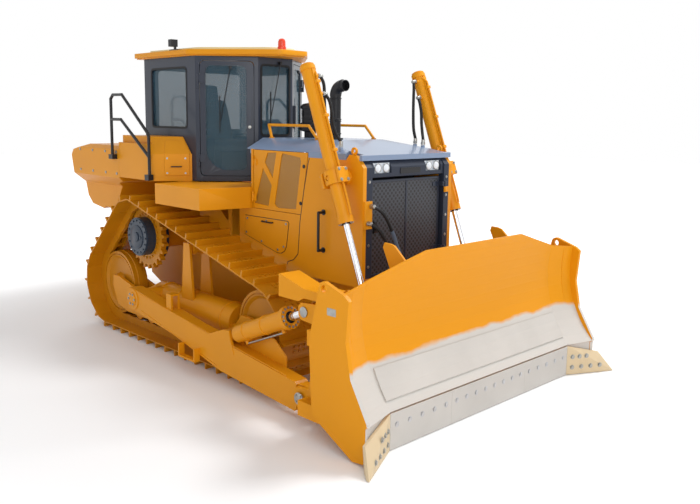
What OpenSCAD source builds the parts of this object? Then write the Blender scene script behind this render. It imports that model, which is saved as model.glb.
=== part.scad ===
// Crawler bulldozer with raised drive sprockets, straight push arms and a semi-U blade.
// X points forward, Y to the machine's left, Z up; the origin is on the ground under the middle.

/* [Tracks] */
// Centre line of each track, from the middle of the machine
track_y = 1100; // [1060:5:1160]
// Width of the track shoes
shoe_w = 600; // [540:10:620]
// Pitch of the track chain, pin to pin
shoe_pitch = 216; // [200:1:230]
// Thickness of a shoe plate
shoe_t = 14; // [10:1:18]
// Height of the grouser bar on a shoe
grouser_h = 65; // [45:1:75]
// Distance from the pin line to the shoe plate's outer face
shoe_offset = 70; // [60:1:80]
// Depth of the chain's running rail inside the pin line
rail_depth = 45; // [38:1:52]
// Thickness of one chain link rail
rail_t = 42; // [34:1:48]
// Distance between the two link rails' middles
rail_gauge = 140; // [130:1:160]

/* [Wheels] */
// Drive sprocket's axis, along the machine
sprocket_x = -1500; // [-1540:5:-1460]
// Drive sprocket's axis above the ground
sprocket_z = 1290; // [1260:5:1320]
// Pin line radius round the sprocket
sprocket_r = 410; // [395:1:425]
// Teeth on the sprocket
sprocket_teeth = 24; // [22:2:26]
// Final drive drum radius
drum_r = 245; // [225:1:265]
// Final drive drum's outer face, from the middle of the machine
drum_face_y = 1267; // [1250:1:1290]
// Rear idler's axis, along the machine
rear_idler_x = -2130; // [-2160:5:-2100]
// Front idler's axis, along the machine
front_idler_x = 970; // [930:5:1010]
// Pin line radius round each idler
idler_r = 460; // [450:1:470]
// Track roller radius
roller_r = 95; // [85:1:105]
// Number of track rollers on each side
roller_n = 8; // [6:1:8]

/* [Push arms] */
// Height of a push arm's trunnion above the ground
trunnion_z = 620; // [600:5:650]
// Push arm trunnion, along the machine
trunnion_x = -1040; // [-1080:5:-1000]
// Middle of a push arm, from the middle of the machine
arm_y = 1525; // [1515:1:1560]
// Width of a push arm's box section
arm_w = 150; // [120:2:170]
// Trunnion pin radius
trunnion_r = 60; // [50:1:70]
// Blade pin, along the machine
blade_pin_x = 2090; // [2060:5:2120]
// Blade pin above the ground
blade_pin_z = 250; // [230:5:270]
// Blade pin radius
blade_pin_r = 40; // [34:1:46]
// Gap round the blade pin in the arm's eye, for the arm's swing as the blade tilts
eye_play = 20; // [18:1:24]

/* [Blade] */
// Width over the blade's end plates
blade_w = 3720; // [3600:10:3800]
// Height of the blade's corners
blade_h = 1390; // [1340:5:1440]
// Height of the raised middle of the top edge
blade_crown_z = 1640; // [1600:5:1680]
// Half length of the raised middle
crown_half = 770; // [700:10:820]
// Front of the cutting edge, along the machine
edge_x = 3030; // [3010:5:3050]
// Hollow of the mouldboard behind its chord
blade_sag = 200; // [160:5:230]
// Thickness of the mouldboard shell
mould_t = 22; // [16:1:30]
// Thickness of an end plate
end_plate_t = 40; // [30:1:50]
// Thickness of the cutting edge
edge_t = 30; // [25:1:40]
// Height of the cutting edge along its face
edge_h = 330; // [280:5:360]
// Cutting edge's lowest point above the ground
edge_clear = 4; // [2:1:10]
// Bolt hole radius in the cutting edge
edge_hole_r = 13; // [10:0.5:16]

/* [Lift cylinders] */
// Middle of a lift cylinder, from the middle of the machine
lift_y = 860; // [850:1:880]
// Lift cylinder's trunnion, along the machine
lift_pivot_x = 1700; // [1685:5:1715]
// Lift cylinder's trunnion above the ground
lift_pivot_z = 2230; // [2210:5:2250]
// Lift rod's eye, along the machine
lift_eye_x = 2200; // [2185:5:2215]
// Lift rod's eye above the ground
lift_eye_z = 930; // [915:5:945]
// Lift barrel's outer radius
lift_barrel_r = 72; // [66:1:78]
// Lift rod's radius
lift_rod_r = 32; // [28:1:36]
// Length of the barrel above its trunnion
lift_up = 1190; // [1160:5:1220]
// Length of the barrel below its trunnion
lift_down = 470; // [440:5:490]

/* [Tilt cylinder] */
// Tilt cylinder's pin on the arm, along the machine
tilt_rear_x = 880; // [860:5:900]
// Tilt cylinder's pin on the arm above the ground
tilt_rear_z = 560; // [545:5:575]
// Tilt cylinder's pin on the blade, along the machine
tilt_front_x = 2110; // [2095:5:2125]
// Tilt cylinder's pin on the blade above the ground
tilt_front_z = 1070; // [1055:5:1085]
// Tilt barrel's outer radius
tilt_barrel_r = 92; // [84:1:100]
// Tilt rod's radius
tilt_rod_r = 42; // [36:1:50]

/* [Hull] */
// Half width of the engine enclosure
hood_half = 700; // [670:5:720]
// Height of the hood's side edge
hood_side_z = 2460; // [2430:5:2490]
// Rear end of the engine enclosure
hood_rear_x = 165; // [140:5:200]
// Rear face of the radiator guard
guard_rear_x = 1100; // [1080:5:1130]
// Front face of the radiator guard
guard_front_x = 1940; // [1900:5:1950]
// Thickness of the guard's side walls
guard_t = 130; // [110:5:150]
// Hull case's half width between the tracks
case_half = 430; // [400:5:470]
// Height of the belly above the ground
belly_z = 430; // [410:5:460]

/* [Cab] */
// Half width of the cab's rear part
cab_half = 850; // [830:5:870]
// Half width of the cab's front face
cab_nose_half = 270; // [250:5:300]
// Cab's rear face, along the machine
cab_rear_x = -1940; // [-1960:5:-1920]
// Door post, along the machine
cab_post_x = -760; // [-780:5:-740]
// Cab's front face, along the machine
cab_front_x = -280; // [-300:5:-260]
// Cab floor above the ground
cab_z = 2030; // [2020:2:2040]
// Roof's underside above the ground
roof_z = 3530; // [3500:5:3560]
// Thickness of the cab's walls
cab_t = 60; // [50:2:70]
// Gap round a door
door_gap = 7; // [6:0.5:9]

/* [Hidden] */

seat_gap = 0.3;
fit = 0.05;
free_gap = 6;
eps = 1;
paint = "goldenrod";
dark = "darkslategray";
steel = "silver";

// Points of a convex outline moved inwards by d
function cross2(a, b) = a[0] * b[1] - a[1] * b[0];
function unit(v) = v / norm(v);
function meet(p, u, q, v) = p + u * (cross2(q - p, v) / cross2(u, v));
function inset(pts, d) = [
  for (i = [0:len(pts) - 1])
    let (
      a = pts[(i + len(pts) - 1) % len(pts)], b = pts[i], c = pts[(i + 1) % len(pts)],
      u = unit(b - a), v = unit(c - b)
    )
    meet(b + d * [-u[1], u[0]], u, b + d * [-v[1], v[0]], v)
];

// A pair of like shapes, one on each side
module both() {
  children();
  mirror([0, 1, 0]) children();
}
// A side-view outline given as [x, z] points, from y0 to y1
module slab(pts, y0, y1) {
  translate([0, y1, 0]) rotate([90, 0, 0]) linear_extrude(y1 - y0) polygon(pts);
}
// A plan outline given as [x, y] points, from z0 to z1
module plan(pts, z0, z1) {
  translate([0, 0, z0]) linear_extrude(z1 - z0) polygon(pts);
}
// A box between two corners
module block(a, b) {
  translate(a) cube(b - a);
}
// A cylinder along Y between y0 and y1
module across(x, z, r, y0, y1) {
  translate([x, y1, z]) rotate([90, 0, 0]) cylinder(h = y1 - y0, r = r);
}
// A rod between two points
module rod_between(a, b, r) {
  v = b - a;
  translate(a) rotate([0, acos(v[2] / norm(v)), atan2(v[1], v[0])]) cylinder(h = norm(v), r = r);
}
// A bent bar through a list of points, with round knees
module bar(pts, r) {
  for (i = [0:len(pts) - 2]) rod_between(pts[i], pts[i + 1], r);
  for (i = [1:len(pts) - 2]) translate(pts[i]) sphere(r * 1.03);
}
$fn = 48;

// Track loop: the pin line runs round three circles
idler_z = idler_r + shoe_offset + grouser_h;
wheels = [
  [rear_idler_x, idler_z, idler_r],
  [front_idler_x, idler_z, idler_r],
  [sprocket_x, sprocket_z, sprocket_r]
];
function wheel_at(i) = wheels[i % 3];
function span_of(i) =
  let (a = wheel_at(i), b = wheel_at(i + 1), d = [b[0] - a[0], b[1] - a[1]], n = norm(d))
  [atan2(d[1], d[0]) + asin((a[2] - b[2]) / n), sqrt(n * n - pow(a[2] - b[2], 2))];
function turn(a) = a - 360 * floor(a / 360);
function arc_of(i) = turn(span_of(i)[0] - span_of(i + 2)[0]);
function stretch(i) = i % 2 == 0 ? span_of(i / 2)[1] :
  let (w = (i + 1) / 2) wheel_at(w)[2] * arc_of(w % 3) * PI / 180;
function run_to(i) = i == 0 ? 0 : run_to(i - 1) + stretch(i - 1);
loop_len = run_to(6);
shoe_n = round(loop_len / shoe_pitch);
pitch = loop_len / shoe_n;
// Place on the pin line at a distance s along it: x, z and heading
function pin_at(s, i = 0) =
  s > stretch(i) && i < 5 ? pin_at(s - stretch(i), i + 1) :
  i % 2 == 0 ?
    let (w = wheel_at(i / 2), t = span_of(i / 2)[0])
    [w[0] + w[2] * sin(t) + s * cos(t), w[1] - w[2] * cos(t) + s * sin(t), t] :
    let (w = wheel_at((i + 1) / 2), t = span_of((i - 1) / 2)[0] + s / w[2] * 180 / PI)
    [w[0] + w[2] * sin(t), w[1] - w[2] * cos(t), t];
// A point beside the pin line, out by h and along by u
function beside(p, u, h) =
  [p[0] + u * cos(p[2]) + h * sin(p[2]), p[1] + u * sin(p[2]) - h * cos(p[2])];

grouser_root = 34;
grouser_tip = 20;
grouser_lead = 22;
shoe_lap = 3;
module shoe_band() {
  outer = [
    for (i = [0:shoe_n - 1]) let (p = pin_at((i + 0.5) * pitch), e = pitch / 2 - shoe_lap)
      each [
        beside(p, -e, shoe_offset),
        beside(p, e - grouser_lead - grouser_root, shoe_offset),
        beside(p, e - grouser_lead - (grouser_root + grouser_tip) / 2, shoe_offset + grouser_h),
        beside(p, e - grouser_lead - (grouser_root - grouser_tip) / 2, shoe_offset + grouser_h),
        beside(p, e - grouser_lead, shoe_offset),
        beside(p, e, shoe_offset)
      ]
  ];
  inner = [
    for (i = [0:shoe_n - 1]) let (p = pin_at((i + 0.5) * pitch), e = pitch / 2 - shoe_lap)
      each [beside(p, -e, shoe_offset - shoe_t), beside(p, e, shoe_offset - shoe_t)]
  ];
  ring_band(outer, inner, -shoe_w / 2, shoe_w / 2);
}
module ring_band(outer, inner, y0, y1) {
  translate([0, y1, 0]) rotate([90, 0, 0]) linear_extrude(y1 - y0) difference() {
    polygon(outer);
    polygon(inner);
  }
}
rail_scallop = 9;
module link_rail(y) {
  outer = [for (i = [0:shoe_n - 1]) let (p = pin_at((i + 0.5) * pitch))
    each [beside(p, -pitch / 2 + shoe_lap, shoe_offset - shoe_t + eps),
          beside(p, pitch / 2 - shoe_lap, shoe_offset - shoe_t + eps)]];
  inner = [for (i = [0:2 * shoe_n - 1])
    beside(pin_at(i * pitch / 2), 0, -rail_depth + (i % 2 == 0 ? 0 : rail_scallop))];
  ring_band(outer, inner, y - rail_t / 2, y + rail_t / 2);
}
bush_r = 30;
module bushes() {
  for (i = [0:shoe_n - 1]) let (p = pin_at(i * pitch))
    translate([p[0], rail_gauge / 2, p[1]]) rotate([90, 0, 0])
      rotate([0, 0, p[2]]) cylinder(h = rail_gauge, r = bush_r, $fn = 6);
}
module track() {
  color(paint) union() {
    shoe_band();
    link_rail(rail_gauge / 2);
    link_rail(-rail_gauge / 2);
    bushes();
  }
}
module track_right() { translate([0, -track_y, 0]) track(); }
module track_left() { translate([0, track_y, 0]) track(); }

// Sprocket: a toothed rim with bolted segments on a web plate
tooth_w = rail_gauge - rail_t - 2 * free_gap - 14;
tooth_tip_r = sprocket_r + 14;
tooth_root_r = sprocket_r - bush_r - 8;
rim_inner_r = drum_r + 62;
module sprocket() {
  step = 360 / sprocket_teeth;
  pts = [for (i = [0:sprocket_teeth - 1]) each [
    for (q = [[-0.26, tooth_root_r], [-0.12, tooth_tip_r], [0.12, tooth_tip_r], [0.26, tooth_root_r]])
      q[1] * [cos((i + 0.5 + q[0]) * step + tooth_phase), sin((i + 0.5 + q[0]) * step + tooth_phase)]
  ]];
  color(paint) difference() {
    translate([sprocket_x, tooth_w / 2, sprocket_z]) rotate([90, 0, 0]) linear_extrude(tooth_w)
      difference() {
        polygon(pts);
        circle(drum_r + seat_gap);
        for (a = [0:15:359]) rotate(a) translate([(rim_inner_r + drum_r) / 2 + 8, 0]) circle(13);
      }
  }
}
// The teeth stand halfway between the bushes at the top of the loop
wrap_i = ceil(run_to(3) / pitch);
wrap_p = pin_at(wrap_i * pitch);
tooth_phase = atan2(wrap_p[1] - sprocket_z, wrap_p[0] - sprocket_x);
module sprockets() { both() translate([0, track_y, 0]) sprocket(); }

// Final drive: a plain drum with a stepped cover and a bolt ring flange
drum_lip = 12;
module final_drives() {
  y_in = track_y - tooth_w / 2 - 60;
  color("slategray") both() union() {
    across(sprocket_x, sprocket_z, drum_r, y_in, drum_face_y - drum_lip);
    across(sprocket_x, sprocket_z, drum_r - drum_lip, drum_face_y - drum_lip - eps, drum_face_y);
    across(sprocket_x, sprocket_z, rim_inner_r + 30, y_in, track_y - tooth_w / 2 - seat_gap);
  }
}

// Idlers: a dished disc with a rim groove and a middle guide flange
idler_w = rail_gauge + rail_t + 10;
idler_tread_r = idler_r - rail_depth - seat_gap;
hub_r = 105;
module idler() {
  guide_w = rail_gauge - rail_t - 2 * free_gap - 6;
  translate([0, 0, idler_z]) rotate([90, 0, 0]) rotate_extrude() polygon([
    [0, -idler_w / 2 - 30], [hub_r, -idler_w / 2 - 30], [hub_r + 25, -idler_w / 2 + 25],
    [idler_tread_r - 95, -idler_w / 2 + 25], [idler_tread_r - 60, -idler_w / 2],
    [idler_tread_r - 44, -idler_w / 2], [idler_tread_r - 44, -idler_w / 2 + 14],
    [idler_tread_r - 30, -idler_w / 2 + 14], [idler_tread_r - 30, -idler_w / 2],
    [idler_tread_r, -idler_w / 2],
    [idler_tread_r, -guide_w / 2], [idler_tread_r + 10, -guide_w / 2 + 6],
    [idler_tread_r + 10, guide_w / 2 - 6], [idler_tread_r, guide_w / 2],
    [idler_tread_r, idler_w / 2], [idler_tread_r - 30, idler_w / 2],
    [idler_tread_r - 30, idler_w / 2 - 14], [idler_tread_r - 44, idler_w / 2 - 14],
    [idler_tread_r - 44, idler_w / 2], [idler_tread_r - 60, idler_w / 2],
    [idler_tread_r - 95, idler_w / 2 - 25],
    [hub_r + 25, idler_w / 2 - 25], [hub_r, idler_w / 2 + 30], [0, idler_w / 2 + 30]
  ]);
}
module idlers() {
  color(paint) both() {
    translate([rear_idler_x, track_y, 0]) idler();
    translate([front_idler_x, track_y, 0]) idler();
  }
}

// Track rollers under the frame, and one carrier roller under the upper run
roller_z = shoe_offset + grouser_h + rail_depth + seat_gap + roller_r;
roller_rear = rear_idler_x + idler_r + 45;
roller_front = front_idler_x - idler_r - 45;
roller_step = (roller_front - roller_rear) / (roller_n - 1);
roller_half = (rail_gauge + rail_t) / 2 + 2;
carrier_x = -400;
carrier_r = 90;
upper_run = span_of(1);
// Height of the upper run's pin line above a given x
function upper_z(x) = let (
    w = wheels[1], t = upper_run[0], px = w[0] + w[2] * sin(t), pz = w[1] - w[2] * cos(t)
  ) pz + (x - px) * tan(t);
carrier_z = upper_z(carrier_x) - (rail_depth + carrier_r + seat_gap) / cos(upper_run[0] - 180);
module roller(r) {
  guide_w = rail_gauge - rail_t - 2 * free_gap - 6;
  rotate([90, 0, 0]) rotate_extrude() polygon([
    [0, -roller_half - 22], [r * 0.55, -roller_half - 22], [r * 0.55, -roller_half],
    [r, -roller_half], [r, -guide_w / 2 - 8], [r - 14, -guide_w / 2], [r - 14, guide_w / 2],
    [r, guide_w / 2 + 8], [r, roller_half], [r * 0.55, roller_half],
    [r * 0.55, roller_half + 22], [0, roller_half + 22]
  ]);
}
module track_rollers() {
  color(paint) both() {
    for (i = [0:roller_n - 1])
      translate([roller_rear + i * roller_step, track_y, roller_z]) roller(roller_r);
    translate([carrier_x, track_y, carrier_z]) roller(carrier_r);
  }
}

// Roller frames: side beams, recoil tube, idler guards, trunnion boss and roller guards
plate_y = roller_half + 22 + seat_gap;
tf_in = track_y - 220;
tf_out = track_y + 220;
tf_low = roller_z - 20;
tf_top = 560;
recoil_r = 185;
recoil_z = 560;
module track_frame() {
  side_plate = [
    [rear_idler_x + 90, 700], [rear_idler_x - 40, 690], [rear_idler_x - 60, 560],
    [rear_idler_x + 60, tf_low + 60], [rear_idler_x + 330, tf_low],
    [front_idler_x - 330, tf_low], [front_idler_x - 60, tf_low + 80],
    [front_idler_x + 60, 520], [front_idler_x + 40, 640], [front_idler_x - 160, 690],
    [front_idler_x - 300, 690], [front_idler_x - 420, tf_top], [rear_idler_x + 700, tf_top]
  ];
  difference() {
    union() {
      slab(side_plate, plate_y, plate_y + 40);
      slab(side_plate, -plate_y - 40, -plate_y);
      block([rear_idler_x + idler_r + 20, -plate_y - eps, roller_z + roller_r + 12],
        [front_idler_x - idler_r - 20, plate_y + eps, tf_top]);
      translate([trunnion_x - 140, 0, recoil_z]) rotate([0, 90, 0])
        cylinder(h = front_idler_x - idler_r - 30 - trunnion_x + 140, r = recoil_r);
      translate([trunnion_x - 320, 0, recoil_z]) rotate([0, 90, 0])
        cylinder(h = 181, r1 = recoil_r - 75, r2 = recoil_r);
      // Boss that carries the push arm's trunnion
      across(trunnion_x, trunnion_z, trunnion_r + 45, roller_half + 22, arm_y - arm_w / 2 - track_y - 12);
      // Seats of the carrier roller's shaft
      for (s = [-1, 1]) slab([
        [carrier_x - 130, tf_top - 10], [carrier_x + 130, tf_top - 10],
        [carrier_x + 60, carrier_z + 60], [carrier_x - 60, carrier_z + 60]
      ], s > 0 ? plate_y : -plate_y - 30, s > 0 ? plate_y + 30 : -plate_y);
      // Seats of the pivot shaft and the equaliser bar on the inner side
      across(pivot_x, pivot_z, pivot_r + 40, tf_in - track_y, -plate_y - 1);
      block([equal_x - 90, tf_in - track_y, belly_z + 10], [equal_x + 90, -plate_y - 1, belly_z + 130]);
    }
    across(trunnion_x, trunnion_z, trunnion_r + fit, 60, 900);
    // Room for the idlers in their forks
    for (x = [rear_idler_x, front_idler_x]) {
      across(x, idler_z, idler_r - rail_depth + 14, -idler_w / 2 - 14, idler_w / 2 + 14);
      across(x, idler_z, hub_r + 36, -idler_w / 2 - 30 - seat_gap, idler_w / 2 + 30 + seat_gap);
    }
    // Room for the rollers' shafts
    for (i = [0:roller_n - 1])
      across(roller_rear + i * roller_step, roller_z, roller_r + 8, -plate_y, plate_y);
  }
}
pivot_x = -1180;
pivot_z = 470;
pivot_r = 80;
equal_x = 640;
module track_frames() {
  color(paint) both() translate([0, track_y, 0]) track_frame();
}

// Hull: the rear case, the engine channel with its belly plate, axle housings and drawbar
hull_rear_x = -2600;
tank_seat_z = 1560;
hull_front_x = 1700;
axle_r = 175;
hitch_z = 620;
hitch_gap = 110;
hitch_ear = 45;
hitch_pin_r = 27;
hitch_x = hull_rear_x - 190;
module main_frame() {
  case_side = [
    [hull_rear_x, 560], [-2300, belly_z], [-500, belly_z], [-500, 1200], [-700, 1500],
    [-1200, 1900], [-1900, 1900], [-2350, tank_seat_z], [hull_rear_x, tank_seat_z]
  ];
  color(paint) difference() {
    union() {
      slab(case_side, -case_half, case_half);
      both() block([-510, case_half - 50, belly_z], [hull_front_x, case_half + 60, 1120]);
      block([-510, -case_half - 10, belly_z], [hull_front_x, case_half + 10, belly_z + 25]);
      block([hull_front_x - 60, -case_half - 10, belly_z], [hull_front_x, case_half + 10, 1120]);
      both() across(sprocket_x, sprocket_z, axle_r, case_half - 10, track_y - tooth_w / 2 - 60 - seat_gap);
      both() across(pivot_x, pivot_z, pivot_r, case_half - 10, tf_in - seat_gap);
      block([equal_x - 70, -tf_in + seat_gap, belly_z + 15], [equal_x + 70, tf_in - seat_gap, belly_z + 125]);
      // Posts under the cab and the tank
      both() block([-1850, case_half - 120, 1560], [-1650, case_half, cab_z - seat_gap]);
      both() block([-640, case_half - 120, 1200], [-560, case_half - 10, cab_z - seat_gap]);
      both() block([-640, case_half - 60, 1200], [-560, case_half + 40, deck_low - seat_gap]);
      block([-1300, -case_half, 1500], [-700, case_half, 1520]);
      // Drawbar clevis
      for (s = [-1, 1]) plan([
        [hull_rear_x + 5, -150], [hitch_x, -70], [hitch_x - 70, -40], [hitch_x - 70, 40],
        [hitch_x, 70], [hull_rear_x + 5, 150]
      ], hitch_z + s * (hitch_gap + hitch_ear) / 2 - hitch_ear / 2,
         hitch_z + s * (hitch_gap + hitch_ear) / 2 + hitch_ear / 2);
    }
    translate([hitch_x, 0, hitch_z - 150]) cylinder(h = 300, r = hitch_pin_r);
  }
}
engine_low_z = 700;
module engine() {
  color("dimgray") union() {
    block([-60, -330, engine_low_z], [1010, 330, 1950]);
    both() block([200, 329, engine_low_z + 20], [420, case_half - 50 - seat_gap, engine_low_z + 120]);
  }
}
module radiator() {
  color("black") block([1420, -470, sill_z + 30 + seat_gap], [1600, 470, 2250]);
}

// Radiator guard: two thick side walls, a sill, a header with lamp pockets and lifting eyes
hood_low_z = 2400;
sill_z = 1120;
door_t = 35;
door_low = 1780;
door_top = 2446;
// Seam between the guard's side plate and the engine's doors and panels
seam = [
  [785, sill_z], [785, 1205], [800, 1236], [889, 1268], [945, 1310], [963, 1370], [993, 1697],
  [1008, door_low], [1121, hood_low_z]
];
grille_half = 560;
grille_low = 1200;
grille_high = 2205;
grille_x = 1850;
grille_t = 40;
lamp_y = 400;
lamp_z = 2320;
lamp_w = 250;
lamp_h = 105;
boss_r = 78;
boss_y = lift_y - 115;
stub_r = 40;
hinge_pin_y = grille_half + 12;
hinge_pin_x = guard_front_x + 16;
eye_x = 1780;
eye_z = 2492;
module radiator_guard() {
  wall = concat([
    [guard_front_x - 60, sill_z], [guard_front_x, sill_z + 90],
    [guard_front_x, hood_low_z - 70], [guard_front_x - 60, hood_low_z - seat_gap], [1121,
      hood_low_z - seat_gap]
  ], flip([for (i = [0:len(seam) - 2]) seam[i]]));
  header = [
    [guard_rear_x + 500, grille_high + 60], [grille_x + 10, grille_high + 10],
    [guard_front_x - 15, grille_high + 25], [guard_front_x - 15, hood_low_z - 70],
    [guard_front_x - 60, hood_low_z - seat_gap], [guard_rear_x + 500, hood_low_z - seat_gap]
  ];
  color(paint) difference() {
    union() {
      both() intersection() {
        slab(wall, hood_half - guard_t, hood_half);
        union() {
          block([guard_rear_x, 0, 1000], [guard_front_x + 10, 900, 2600]);
          block([700, hood_half - 30, 1000], [guard_rear_x + 1, 900, 2600]);
        }
      }
      slab(header, -hood_half + guard_t - eps, hood_half - guard_t + eps);
      block([guard_rear_x, -hood_half + 5, sill_z + 0.5], [hull_front_x, hood_half - 5, sill_z + 30]);
      block([grille_x - 60, -hood_half + 5, sill_z + 0.5], [guard_front_x - 70, hood_half - 5,
        grille_low - 12]);
      both() translate([lift_pivot_x, 0, lift_pivot_z]) {
        across(0, 0, boss_r, hood_half - eps, boss_y - 3);
      }
      // Lifting eyes
      both() slab([[1690, hood_low_z - 5], [1740, 2456], [1850, 2444], [1876, hood_low_z - 5]],
        hood_half - 60, hood_half);
      both() across(eye_x, eye_z, 38, hood_half - 44, hood_half - 22);
      both() block([eye_x - 20, hood_half - 44, 2440], [eye_x + 20, hood_half - 22, eye_z - 28]);
      // Bulkhead plate and fittings of the tilt hoses
      block([guard_front_x - 1, -690, 1720], [guard_front_x + 16, -580, 2000]);
      for (p = blade_hose_routes) translate([guard_front_x + 15, p[0][1], p[0][2]]) rotate([0, 90, 0])
        cylinder(h = p[0][0] - 4 - guard_front_x - 15, r = 22);
      // Grille hinge knuckles
      for (z = [grille_low + 120, grille_high - 180]) {
        translate([hinge_pin_x, hinge_pin_y, z]) cylinder(h = 60, r = 15);
        block([guard_front_x - 5, hinge_pin_y, z], [hinge_pin_x, hinge_pin_y + 60, z + 60]);
      }
    }
    both() translate([lift_pivot_x, 0, lift_pivot_z]) across(0, 0, stub_r + fit, boss_y - 60, boss_y + 10);
    both() across(eye_x, eye_z, 20, hood_half - 100, hood_half + 10);
    both() block([guard_front_x - 75, lamp_y - lamp_w / 2, lamp_z - lamp_h / 2],
      [guard_front_x + 10, lamp_y + lamp_w / 2, lamp_z + lamp_h / 2]);
  }
}
module headlamps() {
  color("whitesmoke") both() union() {
    block([guard_front_x - 74.7, lamp_y - lamp_w / 2 + seat_gap, lamp_z - lamp_h / 2 + seat_gap],
      [guard_front_x - 45, lamp_y + lamp_w / 2 - seat_gap, lamp_z + lamp_h / 2 - seat_gap]);
    for (s = [-1, 1]) translate([guard_front_x - 46, lamp_y + s * 60, lamp_z]) rotate([0, 90, 0])
      cylinder(h = 18, r = 44);
  }
}
mesh_cell = 84;
mesh_bar = 22;
module grille_door() {
  w = 2 * (grille_half - 10);
  h = grille_high - grille_low - 6;
  nx = floor((w - 2 * 50) / mesh_cell);
  nz = floor((h - 2 * 50) / mesh_cell);
  cx = (w - 2 * 50) / nx;
  cz = (h - 2 * 50) / nz;
  color(dark) union() {
    translate([grille_x, 0, grille_low]) rotate([90, 0, 90]) linear_extrude(grille_t) difference() {
      translate([-w / 2, 0]) square([w, h]);
      for (i = [0:nx - 1], k = [0:nz - 1])
        translate([-w / 2 + 50 + i * cx + mesh_bar / 2, 50 + k * cz + mesh_bar / 2])
          square([cx - mesh_bar, cz - mesh_bar]);
    }
    for (z = [grille_low + 180 + seat_gap, grille_high - 120 + seat_gap]) {
      translate([hinge_pin_x, hinge_pin_y, z]) cylinder(h = 60, r = 15);
      block([grille_x + grille_t - 1, hinge_pin_y - 140, z + 5], [grille_x + grille_t + 10,
        hinge_pin_y - 30, z + 55]);
      block([grille_x + grille_t - 1, hinge_pin_y - 40, z + 5], [hinge_pin_x, hinge_pin_y - 28, z + 55]);
      block([hinge_pin_x - 12, hinge_pin_y - 40, z + 5], [hinge_pin_x, hinge_pin_y, z + 55]);
    }
  }
}

// Hood: a shell with chamfered sides that slopes down towards the front
hood_top_z = 2575;
hood_nose_z = 2450;
hood_flat = 470;
hood_t = 30;
module hood_form(d) {
  intersection() {
    translate([hood_rear_x - 100 + d, 0, 0]) rotate([90, 0, 90])
      linear_extrude(guard_front_x - 20 - hood_rear_x + 100 - 2 * d) polygon([
        [-hood_half + d, hood_low_z - d], [-hood_half + d, hood_side_z - d / 2],
        [-hood_flat, hood_top_z - d], [hood_flat, hood_top_z - d],
        [hood_half - d, hood_side_z - d / 2], [hood_half - d, hood_low_z - d]
      ]);
    slab([
      [hood_rear_x - 200, hood_low_z - d], [hood_rear_x - 200, hood_top_z - d],
      [guard_rear_x, hood_top_z - d], [guard_front_x, hood_nose_z - d], [guard_front_x, hood_low_z - d]
    ], -1000, 1000);
  }
}
module hood() {
  // Fittings where the lift hoses go in
  color("steelblue") both() for (p = lift_hose_routes) let (e = p[len(p) - 1])
    translate([e[0], e[1], 2470]) cylinder(h = e[2] - 4 - 2470, r = 23);
  color("steelblue") difference() {
    hood_form(0);
    both() block([1680, hood_half - 64, 2300], [1884, hood_half + 10, 2700]);
    both() block([hood_rear_x - 200, hood_half - door_t - 6, 2300], [1125, hood_half + 10, door_top + 6]);
    difference() {
      hood_form(hood_t);
      block([guard_rear_x + 490, -1000, 2000], [guard_front_x + 100, 1000, 3000]);
    }
    translate([exhaust_x, exhaust_y, hood_top_z - 80]) cylinder(h = 100, r = exhaust_r + seat_gap);
    translate([cleaner_x, cleaner_y, hood_top_z - 80]) cylinder(h = 100, r = cleaner_neck_r + seat_gap);
  }
}
module engine_door(side) {
  w0 = hood_rear_x + 8;
  pin_x = w0 + 12;
  color(paint) difference() {
    union() {
      slab([[w0 + 14, door_low], [1001, door_low], [1108, 2394], [1114, door_top], [w0 + 14, door_top]],
        hood_half - door_t, hood_half);
      for (z = [door_low + 80, door_top - 180]) {
        translate([pin_x, hood_half + 16, z]) cylinder(h = 80, r = 12);
        block([pin_x, hood_half - 1, z + 5], [pin_x + 60, hood_half + 12, z + 75]);
      }
    }
    // Recesses that hold the perforated sheets
    for (p = [
      [[197, 1836], [452, 1822], [508, 2060], [350, 2246]],
      [[380, 2310], [434, 2420], [590, 2428], [524, 2138]],
      [[557, 1858], [580, 1834], [630, 1816], [925, 1830], [1006, 2350], [990, 2392], [700, 2424], [676,
        2400]]
    ]) slab(p, hood_half - 12, hood_half + 10);
  }
}
module engine_door_left() { engine_door(1); }
module engine_door_right() { mirror([0, 1, 0]) engine_door(-1); }
panel_rear_x = -95;
module lower_panels() {
  color(paint) both() union() {
    slab(concat([[panel_rear_x, sill_z + 60], [panel_rear_x, door_low - 6], [1006, door_low - 6]],
      flip([for (i = [0:6]) seam[i] - [i == 0 ? 0 : 1.5, i == 0 ? -0.5 : 0]]), [[panel_rear_x + 300,
        sill_z + 0.5]]),
      hood_half - 29, hood_half);
    slab([[11, 1458], [30, 1676], [790, 1680], [806, 1660], [765, 1400], [735, 1345], [680, 1315], [610,
      1312]],
      hood_half - 1, hood_half + 6);
    block([panel_rear_x + 300, case_half - 40, sill_z + 0.5], [783, hood_half - 28, sill_z + 28]);
    block([782, case_half - 40, sill_z + 1], [guard_rear_x - 1, hood_half - 31, sill_z + 27]);
    // Door jamb and hinge knuckles
    block([hood_rear_x - 30, hood_half - door_t - 20, door_low - 8], [hood_rear_x, hood_half - 2,
      hood_low_z - 0.3]);
    block([hood_rear_x - 30, 380, door_low - 8], [hood_rear_x, hood_half - door_t - 19, hood_low_z - 0.3]);
    block([hood_rear_x - 30, hood_half - door_t - 20, door_low - 8], [hood_rear_x + 8, hood_half - 32,
      door_top - 10]);
    block([hood_rear_x - 30, hood_half - 29, door_low - 8], [hood_rear_x + 8, hood_half,
      door_top + 6 - seat_gap]);
    for (z = [door_low + 80 + 81, door_top - 180 + 81]) {
      translate([hood_rear_x + 20, hood_half + 16, z]) cylinder(h = 30, r = 12);
      block([hood_rear_x - 3, hood_half - 1, z], [hood_rear_x + 20, hood_half + 12, z + 30]);
    }
  }
}

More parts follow.
